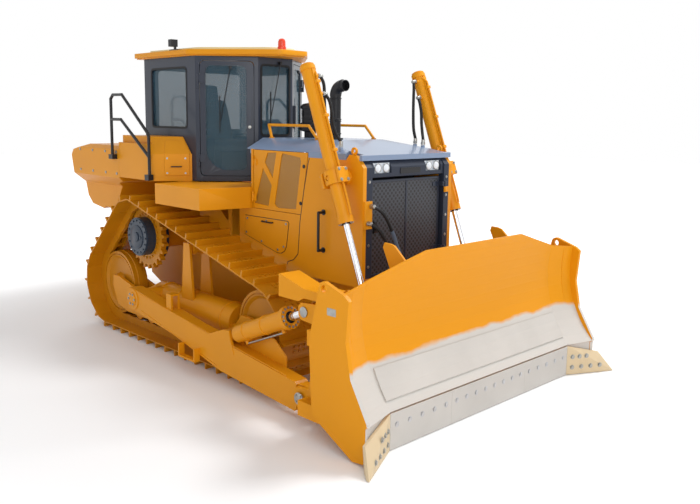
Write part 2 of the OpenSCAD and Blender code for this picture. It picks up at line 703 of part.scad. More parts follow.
exhaust_x = 900;
exhaust_y = -100;
exhaust_r = 62;
exhaust_top = 3060;
elbow_r = 110;
module exhaust_stack() {
  color("dimgray") difference() {
    translate([exhaust_x, exhaust_y, 0]) union() {
      translate([0, 0, hood_top_z - 60]) cylinder(h = exhaust_top - hood_top_z + 62, r = exhaust_r);
      translate([0, 0, hood_top_z + 1]) cylinder(h = 16, r = exhaust_r + 28);
      translate([elbow_r, 0, exhaust_top]) rotate([90, 0, 0]) rotate([0, 0, 90])
        rotate_extrude(angle = 90) translate([elbow_r, 0]) circle(exhaust_r + 3);
      translate([elbow_r - 2, 0, exhaust_top + elbow_r]) rotate([0, 90, 0]) cylinder(h = 52, r = exhaust_r);
    }
    translate([exhaust_x + elbow_r - 20, exhaust_y, exhaust_top + elbow_r]) rotate([0, 90, 0])
      cylinder(h = 120, r = exhaust_r - 6);
  }
}
cleaner_x = 230;
cleaner_y = 120;
cleaner_neck_r = 70;
module air_cleaner() {
  color("dimgray") translate([cleaner_x, cleaner_y, hood_top_z]) rotate_extrude() polygon([
    [0, -60], [cleaner_neck_r, -60], [cleaner_neck_r, 70], [cleaner_neck_r + 60, 85],
    [cleaner_neck_r + 60, 165], [cleaner_neck_r + 30, 180], [cleaner_neck_r + 30, 340],
    [cleaner_neck_r + 48, 345], [cleaner_neck_r + 48, 375], [cleaner_neck_r + 20, 400], [0, 420]
  ]);
}
rail_bar = 16;
module grab_rails() {
  z0 = hood_top_z + seat_gap;
  color(paint) both() union() {
    bar([
      [hood_rear_x + 30, hood_flat - 25, z0 + 6], [hood_rear_x - 20, hood_flat - 25, z0 + 150],
      [guard_rear_x - 260, hood_flat - 25, z0 + 150], [guard_rear_x - 120, hood_flat - 25, z0 + 12]
    ], rail_bar);
    for (x = [hood_rear_x + 30, guard_rear_x - 120])
      translate([x, hood_flat - 25, z0]) cylinder(h = 10, r = rail_bar + 14);
  }
}
module guard_handles() {
  x = guard_rear_x + 270;
  y = hood_half + seat_gap;
  color("black") both() union() {
    bar([[x, y, 1440], [x, y + 75, 1440], [x, y + 75, 1840], [x, y, 1840]], 15);
    for (z = [1440, 1840]) translate([x, y, z]) rotate([-90, 0, 0]) cylinder(h = 8, r = 30);
  }
}

// Cab: six-sided shell with a door in each slanted side
cab_plan = [
  [cab_rear_x, -cab_half], [cab_post_x, -cab_half], [cab_front_x, -cab_nose_half],
  [cab_front_x, cab_nose_half], [cab_post_x, cab_half], [cab_rear_x, cab_half]
];
slant = [cab_front_x - cab_post_x, cab_half - cab_nose_half];
slant_a = atan2(slant[1], slant[0]);
slant_len = norm(slant);
// Rounded opening between two corners, with a radius for each corner
module pane(x0, z0, x1, z1, r) {
  difference() {
    translate([x0, z0]) square([x1 - x0, z1 - z0]);
    for (q = [[x0, z0, 1, 1, r[0]], [x1, z0, -1, 1, r[1]], [x1, z1, -1, -1, r[2]], [x0, z1, 1, -1, r[3]]])
      translate([q[0], q[1]]) difference() {
        translate([min(0, q[2] * q[4]) - (q[2] > 0 ? 1 : 0), min(0, q[3] * q[4]) - (q[3] > 0 ? 1 : 0)])
          square(q[4] + 1);
        translate([q[2] * q[4], q[3] * q[4]]) circle(q[4]);
      }
  }
}
// Stands a flat outline in the right-hand slanted wall, from depth d0 to d1 behind its outer face
module in_slant(d0, d1) {
  translate([cab_post_x, -cab_half, 0]) rotate([0, 0, slant_a]) translate([0, d1, 0])
    rotate([90, 0, 0]) linear_extrude(d1 - d0) children();
}
module in_side(d0, d1) {
  translate([0, -cab_half + d1, 0]) rotate([90, 0, 0]) linear_extrude(d1 - d0) children();
}
module in_end(x, d0, d1) {
  translate([x + d0, 0, 0]) rotate([90, 0, 90]) linear_extrude(d1 - d0) children();
}
jamb = 48;
door_low_z = cab_z + 60;
door_high_z = roof_z - 50;
glass_t = 8;
module door_outline(g) {
  pane(jamb + g, door_low_z + g, slant_len - jamb - g, door_high_z - g, [60, 60, 60, 60]);
}
module door_window(g) {
  pane(jamb + 72 + g, door_low_z + 75 + g, slant_len - jamb - 95 - g, door_high_z - 60 - g, [260, 70, 70,
    70]);
}
module side_window(g) {
  pane(cab_rear_x + 175 + g, cab_z + 640 + g, cab_post_x - 190 - g, roof_z - 130 - g, [55, 55, 55, 55]);
}
module rear_window(g) {
  pane(-cab_half + 170 + g, cab_z + 560 + g, cab_half - 170 - g, roof_z - 130 - g, [60, 60, 60, 60]);
}
module front_window(g) {
  pane(-cab_nose_half + 45 + g, cab_z + 560 + g, cab_nose_half - 45 - g, roof_z - 90 - g, [30, 30, 30, 30]);
}
cab_hinges = [door_low_z + 110, door_high_z - 330];
hinge_x = jamb - 12;
hinge_y = -20;
module cab_frame() {
  color(dark) difference() {
    union() {
      plan(cab_plan, cab_z, roof_z);
      both() translate([cab_post_x, -cab_half, 0]) rotate([0, 0, slant_a]) for (z = cab_hinges) {
        translate([hinge_x, hinge_y, z]) cylinder(h = 60, r = 13);
        block([hinge_x - 30, hinge_y - 4, z], [hinge_x, 5, z + 60]);
      }
    }
    plan(inset(cab_plan, cab_t), cab_z + 40, roof_z + 10);
    both() {
      in_slant(-20, cab_t + 40) door_outline(0);
      in_side(-20, cab_t + 20) side_window(0);
    }
    in_end(cab_rear_x, -20, cab_t + 20) rear_window(0);
    in_end(cab_front_x, -cab_t - 20, 20) front_window(0);
  }
}
module cab_door() {
  color(dark) difference() {
    union() {
      in_slant(0, cab_t - 12) door_outline(door_gap);
      translate([cab_post_x, -cab_half, 0]) rotate([0, 0, slant_a]) {
        for (z = cab_hinges) {
          translate([hinge_x, hinge_y, z + 61]) cylinder(h = 100, r = 13);
          block([hinge_x, hinge_y - 4, z + 64], [hinge_x + 80, -6, z + 158]);
          block([jamb + door_gap + 3, -7, z + 66], [hinge_x + 78, 1, z + 156]);
        }
        // Outside handle
        block([slant_len - jamb - 75, -32, 2720], [slant_len - jamb - 35, 1, 2960]);
      }
    }
    in_slant(-60, cab_t + 40) door_window(0);
  }
}
module cab_door_right() { cab_door(); }
module cab_door_left() { mirror([0, 1, 0]) cab_door(); }
module door_glass() { color("lightblue") in_slant(16, 16 + glass_t) door_window(seat_gap); }
module door_glass_right() { door_glass(); }
module door_glass_left() { mirror([0, 1, 0]) door_glass(); }
module cab_glass() {
  color("lightblue") {
    both() in_side(20, 20 + glass_t) side_window(seat_gap);
    in_end(cab_rear_x, 20, 20 + glass_t) rear_window(seat_gap);
    in_end(cab_front_x, -20 - glass_t, -20) front_window(seat_gap);
  }
}
roof_plan = [
  [cab_rear_x - 130, -cab_half - 80], [cab_post_x - 170, -cab_half - 80],
  [cab_front_x + 320, -cab_nose_half - 290], [cab_front_x + 400, -cab_nose_half - 180],
  [cab_front_x + 400, cab_nose_half + 180], [cab_front_x + 320, cab_nose_half + 290],
  [cab_post_x - 170, cab_half + 80], [cab_rear_x - 130, cab_half + 80]
];
roof_t = 75;
roof_crown = 38;
module cab_roof() {
  color(paint) union() {
    plan(inset(roof_plan, 45), roof_z, roof_z + 20);
    plan(roof_plan, roof_z + 18, roof_z + roof_t);
    plan(inset(roof_plan, 190), roof_z + roof_t - 1, roof_z + roof_t + roof_crown);
  }
}
beacon_x = cab_front_x + 300;
beacon_y = -150;
module beacon() {
  color("orangered") translate([beacon_x, beacon_y, roof_z + roof_t + seat_gap])
    rotate_extrude() polygon([
      [0, 0], [52, 0], [52, 30], [46, 34], [44, 95], [36, 118], [20, 128], [0, 130]
    ]);
}
module work_lamps() {
  color(dark) both() translate([cab_post_x - 330, cab_half + 50, roof_z + roof_t + seat_gap]) union() {
    block([-110, -60, 0], [60, 25, 12]);
    block([-20, 0, 10], [10, 20, 50]);
    block([-45, -10, 40], [25, 80, 125]);
  }
}
module seat() {
  x = -1350;
  color("dimgray") union() {
    block([x - 230, -200, cab_z + 40 + seat_gap], [x + 200, 200, cab_z + 330]);
    hull() for (sx = [-1, 1], sy = [-1, 1])
      translate([x + sx * 220, sy * 220, cab_z + 400]) sphere(70, $fn = 16);
    hull() for (s = [-1, 1]) {
      translate([x - 246, s * 210, cab_z + 425]) sphere(62, $fn = 16);
      translate([x - 400, s * 180, cab_z + 930]) sphere(55, $fn = 16);
    }
    hull() for (s = [-1, 1]) {
      translate([x - 405, s * 90, cab_z + 1010]) sphere(50, $fn = 16);
      translate([x - 425, s * 80, cab_z + 1140]) sphere(45, $fn = 16);
    }
    both() block([x - 260, 270, cab_z + 560], [x + 130, 340, cab_z + 610]);
    both() block([x - 270, 200, cab_z + 540], [x - 230, 300, cab_z + 600]);
  }
}
module console() {
  color(dark) union() {
    slab([
      [cab_front_x - 330, cab_z + 40 + seat_gap], [cab_front_x - cab_t - 30, cab_z + 40 + seat_gap],
      [cab_front_x - cab_t - 30, cab_z + 700], [cab_front_x - 180, cab_z + 740], [cab_front_x - 240,
        cab_z + 600]
    ], -200, 200);
    both() {
      block([-1640, 380, cab_z + 40 + seat_gap], [-1050, 560, cab_z + 520]);
      translate([-1110, 470, cab_z + 519]) cylinder(h = 150, r = 14);
      translate([-1110, 470, cab_z + 690]) sphere(32);
    }
  }
}

// Fender boxes, platforms and the rear tank
deck_z = 2018;
deck_low = door_low - 6 + seat_gap;
module platforms() {
  color(paint) both() plan([
    [-920, case_half - 1], [60, case_half - 1], [60, hood_half + 6], [hood_rear_x - 6, hood_half + 6],
    [hood_rear_x - 6, hood_half + 40], [40, 1350], [-900, 1350]
  ], deck_low, deck_z);
}
box_out = 1240;
box_rear = -1954.7;
box_face = [[-1150, -box_out], [-850, -cab_half - 2]];
box_a = atan2(box_face[1][1] - box_face[0][1], box_face[1][0] - box_face[0][0]);
box_len = norm(box_face[1] - box_face[0]);
box_top = 2560;
box_knee = 2350;
box_lean = 150;
module in_box_face() {
  translate([box_face[0][0], box_face[0][1], 0]) rotate([0, 0, box_a]) children();
}
// A shape given as [depth, z] points behind the box's slanted face, between two places along it
module face_run(pts, x0, x1) {
  in_box_face() translate([x0, 0, 0]) rotate([90, 0, 90]) linear_extrude(x1 - x0) polygon(pts);
}
module side_box() {
  color(paint) difference() {
    plan([
      [box_rear, -cab_half - 1], [box_rear, -box_out], box_face[0], box_face[1]
    ], deck_z + 0.3, box_top);
    face_run([[-60, box_knee], [0, box_knee], [box_lean, box_top], [box_lean, box_top + 50], [-60,
      box_top + 50]],
      -400, box_len + 200);
    slab([[-2100, box_top - 90], [-900, box_top - 90], [-900, box_top + 60], [-2100, box_top + 60]],
      -box_out - 100, -box_out + 60);
  }
}
module side_boxes() { both() side_box(); }
lid_t = 12;
lean_u = unit([box_lean, box_top - box_knee]);
// A point on the box's leaning face, s above its knee and o outside it
function lean_at(s, o) = [0, box_knee] + s * lean_u + o * [-lean_u[1], lean_u[0]];
module side_lid() {
  color(paint) difference() {
    face_run([
      [-0.4, 2090], [-lid_t - 0.4, 2090], lean_at(-4, lid_t + 0.4), lean_at(190, lid_t + 0.4),
      lean_at(190, 0.4), lean_at(0, 0.4)
    ], box_len * 0.32, box_len - 30);
    block([-1100, -cab_half - 22, 2000], [-700, -600, box_top + 50]);
  }
}
module side_lid_right() { side_lid(); }
module side_lid_left() { mirror([0, 1, 0]) side_lid(); }
tank_rear_x = -3330.5;
tank_front_x = -1955;
tank_top = 2420;
module fuel_tank() {
  color(paint) intersection() {
    slab([
      [tank_rear_x, 2250], [tank_rear_x + 80, 1940], [tank_rear_x + 170, 1680], [tank_rear_x + 300, 1570],
      [tank_rear_x + 620, 1530], [-2640, tank_seat_z + seat_gap], [-2370, tank_seat_z + seat_gap],
      [-2130, 1920], [tank_front_x, 1960],
      [tank_front_x, tank_top], [tank_rear_x + 480, tank_top], [tank_rear_x + 60, 2330]
    ], -1300, 1300);
    translate([-4000, 0, 0]) rotate([90, 0, 90]) linear_extrude(3000) polygon([
      [-box_out, tank_top - 50], [-box_out, 2000], [-1090, 1870], [-1090, 1400],
      [1090, 1400], [1090, 1870], [box_out, 2000], [box_out, tank_top - 50],
      [box_out - 60, tank_top + 10], [-box_out + 60, tank_top + 10]
    ]);
  }
}
hand_r = 19;
module handrails() {
  y = box_out + 40;
  color("black") both() union() {
    bar([
      [-2050, y, tank_top - 120], [-2050, y, 3020], [-1990, y, 3070], [-1760, y, 3070],
      [-1150, y, 2600], [-1130, y, 2560], [-1130, y, 2050]
    ], hand_r);
    bar([[-2050, y, 2760], [-1800, y, 2760], [-1140, y, 2320]], hand_r);
    block([-2100, box_out + seat_gap, tank_top - 170], [-2000, y + 30, tank_top - 110]);
    block([-1200, box_out + seat_gap, 2030], [-1108, y + 30, 2100]);
  }
}

// Push arms and their floating trunnion pins
arm_in = arm_y - arm_w / 2;
arm_out = arm_y + arm_w / 2;
module arm_trunnions() {
  color(steel) both() across(trunnion_x, trunnion_z, trunnion_r, track_y + 90, arm_out + 14);
}
arm_side = [
  [trunnion_x - 120, 500], [trunnion_x + 890, 370], [trunnion_x + 1800, 170], [1960, 80],
  [1985, 110], [1985, 345], [1960, 365], [trunnion_x + 1360, 555], [trunnion_x - 20, 755],
  [trunnion_x - 120, 740]
];
eye_w = 110;
eye_r = 100;
ear_t = 30;
tilt_ear = 52;
module push_arm() {
  color(paint) difference() {
    union() {
      slab(arm_side, arm_in, arm_out);
      across(trunnion_x, trunnion_z, trunnion_r + 70, arm_in, arm_out + 12);
      slab([[1900, 110], [blade_pin_x, blade_pin_z - eye_r], [blade_pin_x, blade_pin_z + eye_r], [1900, 345]],
        arm_y - eye_w / 2, arm_y + eye_w / 2);
      across(blade_pin_x, blade_pin_z, eye_r, arm_y - eye_w / 2, arm_y + eye_w / 2);
      // Cheeks that hold the tilt cylinder or the brace
      for (s = [-1, 1]) slab([
        [tilt_rear_x - 330, 525], [tilt_rear_x - 60, 630], [tilt_rear_x + 50, 640],
        [tilt_rear_x + 75, 545], [tilt_rear_x + 130, 400]
      ], arm_y + s * (tilt_ear + ear_t / 2) - ear_t / 2, arm_y + s * (tilt_ear + ear_t / 2) + ear_t / 2);
      // Stone guard on the inner side
      slab([[1010, 300], [1010, 470], [1080, 560], [1420, 650], [1480, 640], [1660, 500], [1660, 250]],
        arm_in - 14, arm_in + 1);
      // Arched bracket
      for (s = [-1, 1]) block([-310, arm_y + s * 45 - 12, 560], [-210, arm_y + s * 45 + 12, 810]);
      block([-310, arm_y - 57, 790], [-210, arm_y + 57, 812]);
      // Step
      block([60, arm_out - 1, 180], [380, arm_out + 70, 200]);
      for (x = [60, 360]) block([x, arm_out - 1, 190], [x + 20, arm_out + 70, 330]);
    }
    across(trunnion_x, trunnion_z, trunnion_r + fit, arm_in - 50, arm_out + 50);
    across(blade_pin_x, blade_pin_z, blade_pin_r + eye_play, arm_y - 200, arm_y + 200);
  }
  // Ball pin between the cheeks
  color(steel) {
    across(tilt_rear_x, tilt_rear_z, tilt_pin_r, arm_y - tilt_ear - 5, arm_y + tilt_ear + 5);
    translate([tilt_rear_x, arm_y, tilt_rear_z]) rotate([90, 0, 0]) sphere(tilt_ball_r);
  }
}
tilt_pin_r = 24;
tilt_ball_r = 36;
module push_arm_left() { push_arm(); }
module push_arm_right() { mirror([0, 1, 0]) push_arm(); }

// Blade
face_low = [3050, 350];
face_top = [2840, blade_crown_z];
chord = face_top - face_low;
chord_len = norm(chord);
chord_out = [-chord[1], chord[0]] / chord_len;
face_r = (chord_len * chord_len / 4 + blade_sag * blade_sag) / (2 * blade_sag);
face_c = (face_low + face_top) / 2 - chord_out * (face_r - blade_sag);
face_a0 = atan2(face_low[1] - face_c[1], face_low[0] - face_c[0]);
face_a1 = atan2(face_top[1] - face_c[1], face_top[0] - face_c[0]);
face_steps = 14;
// Points on the mouldboard's face, moved forward by d, from fraction f0 to f1 of its height
function face_arc(d, f0 = 0, f1 = 1) = [
  for (i = [0:face_steps]) let (
    a1 = turn(face_a1), a0 = turn(face_a0),
    a = a0 + (a1 - a0) * (f0 + (f1 - f0) * i / face_steps)
  ) face_c + (face_r - d) * [cos(a), sin(a)]
];
function flip(v) = [for (i = [len(v) - 1:-1:0]) v[i]];
mould_foot = [[face_low[0] - edge_t, 36], [face_low[0] - edge_t - mould_t, 36]];
mould_profile = concat(
  [mould_foot[1]], [mould_foot[0]],
  [[face_low[0] - edge_t, face_low[1] - eps]],
  face_arc(0), flip(face_arc(-mould_t, 0.06)),
  [[face_low[0] - edge_t - mould_t, face_low[1]]]
);
wing_y = 1460;
wing_a = 16;
blade_half = blade_w / 2;
// The profile's four stations: both ends and both mitres between the middle and a wing
mould_end = blade_half - 1;
mitre_y = [for (q = mould_profile) wing_y - tan(wing_a / 2) * (q[0] - face_low[0] + edge_t)];
function mitre_row(s) = [for (i = [0:len(mitre_y) - 1]) [mould_profile[i][0], s * mitre_y[i],
  mould_profile[i][1]]];
function end_row(s) = [for (i = [0:len(mitre_y) - 1])
  [mould_profile[i][0] + (mould_end - mitre_y[i]) * tan(wing_a), s * mould_end, mould_profile[i][1]]];
module mouldboard() {
  n = len(mould_profile);
  polyhedron(concat(end_row(-1), mitre_row(-1), mitre_row(1), end_row(1)), concat(
    [for (k = [0:n / 2 - 2]) [n - k - 1, k + 2, k + 1, (n - k) % n]],
    [for (k = [0:n / 2 - 2]) [3 * n + (n - k) % n, 3 * n + k + 1, 3 * n + k + 2, 4 * n - k - 1]],
    [for (k = [0:2], i = [0:n - 1]) let (j = (i + 1) % n) [k * n + i, k * n + j, (k + 1) * n + j,
      (k + 1) * n + i]]
  ), convexity = 4);
}
// The space behind the middle of the mouldboard's wall, moved forward by d
function behind_face(d) = concat(
  [[1700, 100], [face_low[0] - edge_t - mould_t / 2 + d, 100], [face_low[0] - edge_t - mould_t / 2 + d,
    face_low[1]]],
  [for (q = face_arc(-mould_t / 2, 0.06)) q + [d, 0]], [[1700, 1700]]
);
module blade_rib(y) {
  intersection() {
    slab([
      [beam_x, 190], [beam_x + 120, 1000], [beam_x + 250, 1250], [2760, 1400], [3200, 1400], [3200, 190]
    ], y - 12, y + 12);
    slab(behind_face(max(0, y - wing_y) * tan(wing_a)), 0, blade_half);
  }
}
corner_plate = [
  [2450, 930], [2490, 270], [2990, 12], [3120, 26], [3152, 376], [2960, 700], [2900, 1000],
  [2930, blade_h - 40], [2880, blade_h], for (a = [60:24:180]) [2630 + 62 * cos(a), 1410 + 62 * sin(a)]
];
blade_ear_gap = 26;
module blade_ears(x, z, y, half, r, back) {
  for (s = [-1, 1]) translate([0, y + s * (half + ear_t / 2), 0])
    slab([[x - r * 0.6, z - r], [x - r, z - r * 0.5], [x - r, z + r * 0.5], [x - r * 0.6, z + r],
      [back, z + r + 30], [back, z - r - 30]], -ear_t / 2, ear_t / 2);
}
beam_x = 2260;
module blade() {
  color(paint) difference() {
    union() {
      intersection() {
        mouldboard();
        translate([2000, 0, 0]) rotate([90, 0, 90]) linear_extrude(2000) polygon([
          [-blade_half - 10, 20], [blade_half + 10, 20], [blade_half + 10, blade_h], [wing_y + 60,
            blade_h + 40],
          [crown_half, blade_crown_z], [-crown_half, blade_crown_z], [-wing_y - 60, blade_h + 40],
          [-blade_half - 10, blade_h]
        ]);
      }
      both() slab(corner_plate, blade_half - end_plate_t, blade_half);
      // Box beams behind the mouldboard
      intersection() {
        union() {
          block([beam_x, -blade_half + end_plate_t - 1, 190], [3200, blade_half - end_plate_t + 1, 330]);
          block([beam_x + 120, -blade_half + end_plate_t - 1, 860], [3200, blade_half - end_plate_t + 1,
            1000]);
          // Rock guard over the tilt cylinder's rod
          slab([
            [1775, 1165], [1775, 1375], [1790, 1382], [2110, 1296], [2140, 1290], [3200, 1290], [3200, 1210],
            [2130, 1205], [2050, 1165]
          ], -arm_y - 115, -arm_y + 125);
          // Rod guards that stand above the mouldboard
          both() slab([[2560, 1250], [2380, 1620], [2400, 1680], [2520, 1650], [2800, 1400], [2800, 1250]],
            lift_y - 12, lift_y + 12);
        }
        slab(behind_face(0), -blade_half, blade_half);
      }
      both() for (y = [200, lift_y - 120, lift_y + 120, arm_y - 180, arm_y + 180]) blade_rib(y);
      both() blade_ears(blade_pin_x, blade_pin_z, arm_y, eye_w / 2 + blade_ear_gap, 95, beam_x + 20);
      both() blade_ears(tilt_front_x, tilt_front_z, arm_y, 62, 80, beam_x + 190);
      both() across(tilt_front_x, tilt_front_z, front_pin_r, arm_y - 70, arm_y + 70);
      both() blade_ears(lift_eye_x, lift_eye_z, lift_y, 97, 80, beam_x + 140);
      // Bracket and fittings of the tilt hoses
      block([2290, -380, 985], [2390, -270, 1020]);
      for (p = blade_hose_routes) let (e = p[len(p) - 1])
        translate([e[0], e[1], 1019]) cylinder(h = e[2] - 4 - 1019, r = 22);
      both() across(blade_pin_x, blade_pin_z, blade_pin_r, arm_y - eye_w / 2 - blade_ear_gap - 50,
        arm_y + eye_w / 2 + blade_ear_gap + 50);
    }
    both() across(2630, 1410, 32, blade_half - 200, blade_half + 10);
    // The lift ears are flat behind, which clears the raised blade from the guard
    both() block([2000, lift_y - 150, 820], [lift_eye_x - 47, lift_y + 150, 1060]);
    // Room for the end bits in front of the end plates
    both() plan([[3128, 1815], [3147.8, 1880], [3400, 1880], [3400, 1815]], 0, edge_clear + edge_h + 3);
  }
}
// The wear plate ends on the mouldboard's own steps
wear_steps = [1, 4];
function wear_arc(d) = let (p = face_arc(d)) [for (i = [wear_steps[0]:wear_steps[1]]) p[i]];
bolt_step = 150;
module edge_piece(y0, y1, n) {
  difference() {
    block([face_low[0] - edge_t + 0.3, y0, edge_clear], [face_low[0], y1, edge_clear + edge_h]);
    for (i = [0:n - 1]) translate([face_low[0] - edge_t - 5, y0 + (i + 0.5) * (y1 - y0) / n,
      edge_clear + 215])
      rotate([0, 90, 0]) cylinder(h = edge_t + 20, r = edge_hole_r);
  }
}
edge_mid = 610;
module end_bit() {
  a = [face_low[0], wing_y + 3, edge_clear];
  hull() for (d = [-edge_t + 1.3, 0]) translate([d, 0, 0]) {
    translate(a) cube([0.5, 0.5, 0.5]);
    translate(a + [0, 0, edge_h]) cube([0.5, 0.5, 0.5]);
    translate([3230, 1930, edge_clear]) cube([0.5, 0.5, 0.5]);
    translate([3330, 2005, edge_clear]) cube([0.5, 0.5, 0.5]);
    translate([3185, 1905, edge_clear + 210]) cube([0.5, 0.5, 0.5]);
  }
}
module cutting_edge() {
  color("lightgray") {
    edge_piece(-edge_mid + 1, edge_mid - 1, 8);
    both() edge_piece(edge_mid + 1, wing_y - 1, 5);
    both() end_bit();
    translate([0, wing_y - 4, 0]) rotate([90, 0, 0]) linear_extrude(2 * wing_y - 8)
      polygon(concat(wear_arc(14), flip(wear_arc(seat_gap))));
  }
}

// Tilt cylinder on the right arm, brace on the left arm
tilt_a = -[tilt_rear_x, tilt_rear_z] + [tilt_front_x, tilt_front_z];
tilt_len = norm(tilt_a);
tilt_lift = atan2(tilt_a[1], tilt_a[0]);
tilt_barrel_len = 1010;
module along_tilt() {
  translate([tilt_rear_x, arm_y, tilt_rear_z]) rotate([0, -tilt_lift, 0]) rotate([0, 90, 0]) children();
}
// Rear end of the cylinder and the brace, with a bush bore for the arm's ball pin
module ball_end() {
  along_tilt() translate([-50, -36, 0]) cube([100, 72, 140]);
  across(tilt_rear_x, tilt_rear_z, 60, arm_y - 40, arm_y + 40);
}
module ball_bore() { across(tilt_rear_x, tilt_rear_z, tilt_ball_r + fit, arm_y - 100, arm_y + 100); }
// Front eye, with room round the blade's pin for the cylinder's swing
front_eye_r = 66;
front_pin_r = 24;
module front_eye() { across(tilt_front_x, tilt_front_z, front_eye_r, arm_y - 40, arm_y + 40); }
module front_eye_hole() { across(tilt_front_x, tilt_front_z, front_pin_r + 22, arm_y - 90, arm_y + 90); }
module tilt_barrel() {
  color(paint) mirror([0, 1, 0]) difference() {
    union() {
      along_tilt() {
        translate([0, 0, 130]) cylinder(h = tilt_barrel_len - 130, r = tilt_barrel_r);
        translate([0, 0, tilt_barrel_len - 60]) cylinder(h = 60, r = tilt_barrel_r + 22);
      }
      ball_end();
    }
    // The flat on the inner side clears the track when the blade tilts
    along_tilt() translate([-100, -120, 380]) cube([200, 120 - 75, 520]);
    along_tilt() translate([0, 0, 160]) cylinder(h = tilt_barrel_len - 220, r = tilt_rod_r + 25);
    along_tilt() translate([0, 0, 160]) cylinder(h = tilt_barrel_len, r = tilt_rod_r + fit);
    ball_bore();
  }
}
module tilt_rod() {
  color(steel) mirror([0, 1, 0]) difference() {
    union() {
      along_tilt() translate([0, 0, tilt_len - 700]) cylinder(h = 645, r = tilt_rod_r);
      along_tilt() translate([0, 0, tilt_len - 110]) cylinder(h = 60, r = tilt_rod_r + 14);
      front_eye();
    }
    front_eye_hole();
  }
}
module brace_left() {
  color(paint) difference() {
    union() {
      along_tilt() {
        translate([0, 0, 130]) cylinder(h = tilt_len - 180, r = 47);
        translate([0, 0, 260]) cylinder(h = 620, r = 78);
      }
      ball_end();
      front_eye();
    }
    ball_bore();
    front_eye_hole();
  }
}

// Lift cylinders in their swinging yokes
lift_v = [lift_pivot_x - lift_eye_x, lift_pivot_z - lift_eye_z];
lift_len = norm(lift_v);
lift_lean = atan2(lift_v[0], lift_v[1]);
lift_bore_r = lift_barrel_r - 14;
yoke_r = lift_barrel_r + 11;
module along_lift() {
  translate([lift_pivot_x, lift_y, lift_pivot_z]) rotate([0, lift_lean, 0]) children();
}
yoke_h = 70;
yoke_pin_r = 22;
module lift_yoke() {
  color(paint) difference() {
    along_lift() difference() {
      union() {
        translate([0, 0, -yoke_h]) cylinder(h = 2 * yoke_h, r = yoke_r + 22);
        rotate([90, 0, 0]) cylinder(h = lift_y - boss_y + 2, r = 62);
        rotate([90, 0, 0]) cylinder(h = lift_y - boss_y + 40, r = stub_r);
      }
      translate([0, 0, -yoke_h - 1]) cylinder(h = 2 * yoke_h + 2, r = yoke_r);
      rotate([90, 0, 0]) translate([0, 0, -160]) cylinder(h = 160, r = yoke_pin_r + 5);
      rotate([90, 0, 0]) cylinder(h = yoke_r + 15, r = yoke_pin_r + 5);
    }
  }
}
module lift_yoke_left() { lift_yoke(); }
module lift_yoke_right() { mirror([0, 1, 0]) lift_yoke(); }
hose_ports = [1075, 882];
port_out = 96;
module lift_barrel() {
  color(paint) difference() {
    along_lift() union() {
      translate([0, 0, -lift_down]) cylinder(h = lift_up + lift_down, r = lift_barrel_r);
      translate([0, 0, -lift_down]) cylinder(h = 70, r = lift_barrel_r + 10);
      translate([0, 0, lift_up - 60]) cylinder(h = 40, r = lift_barrel_r + 8);
      rotate([90, 0, 0]) translate([0, 0, -yoke_r - 10]) cylinder(h = 2 * yoke_r + 20, r = yoke_pin_r);
      translate([60, -22, yoke_h + 20]) cube([26, 44, 1030]);
      for (z = hose_ports) translate([18, 0, z]) rotate([90, 0, 0]) cylinder(h = port_out - 7, r = 21);
    }
    along_lift() translate([0, 0, -lift_down + 70]) cylinder(h = lift_up + lift_down - 110, r = lift_bore_r);
    along_lift() translate([0, 0, -lift_down - 10]) cylinder(h = 100, r = lift_rod_r + fit);
  }
}
module lift_barrel_left() { lift_barrel(); }
module lift_barrel_right() { mirror([0, 1, 0]) lift_barrel(); }
lift_rod_in = 1568;
module lift_piston() {
  color(steel) along_lift() translate([0, 0, 10]) difference() {
    cylinder(h = 60, r = lift_bore_r - fit);
    translate([0, 0, -1]) cylinder(h = 70, r = lift_rod_r + 0.4);
  }
}
module lift_piston_left() { lift_piston(); }
module lift_piston_right() { mirror([0, 1, 0]) lift_piston(); }
module lift_rod() {
  color(steel) along_lift() union() {
    translate([0, 0, -lift_len + 40]) cylinder(h = lift_rod_in - 40, r = lift_rod_r);
    translate([0, 0, -lift_len]) rotate([90, 0, 0]) translate([0, 0, -34]) cylinder(h = 68, r = 58);
  }
}
module lift_rod_left() { lift_rod(); }
module lift_rod_right() { mirror([0, 1, 0]) lift_rod(); }

// A hose swept along a list of points
hose_sides = 8;
function hose_dir(p, i) = unit(p[min(i + 1, len(p) - 1)] - p[max(i - 1, 0)]);
function hose_ring(c, d, r) = let (
    s = unit(cross(d, abs(d[1]) < 0.9 ? [0, 1, 0] : [1, 0, 0])), t = cross(d, s)
  ) [for (k = [0:hose_sides - 1]) c + r * (cos(360 * k / hose_sides) * s + sin(360 * k / hose_sides) * t)];
function blend3(a, b, c, d, t) = 0.5 * (
  2 * b + (c - a) * t + (2 * a - 5 * b + 4 * c - d) * t * t + (3 * b - a - 3 * c + d) * t * t * t);
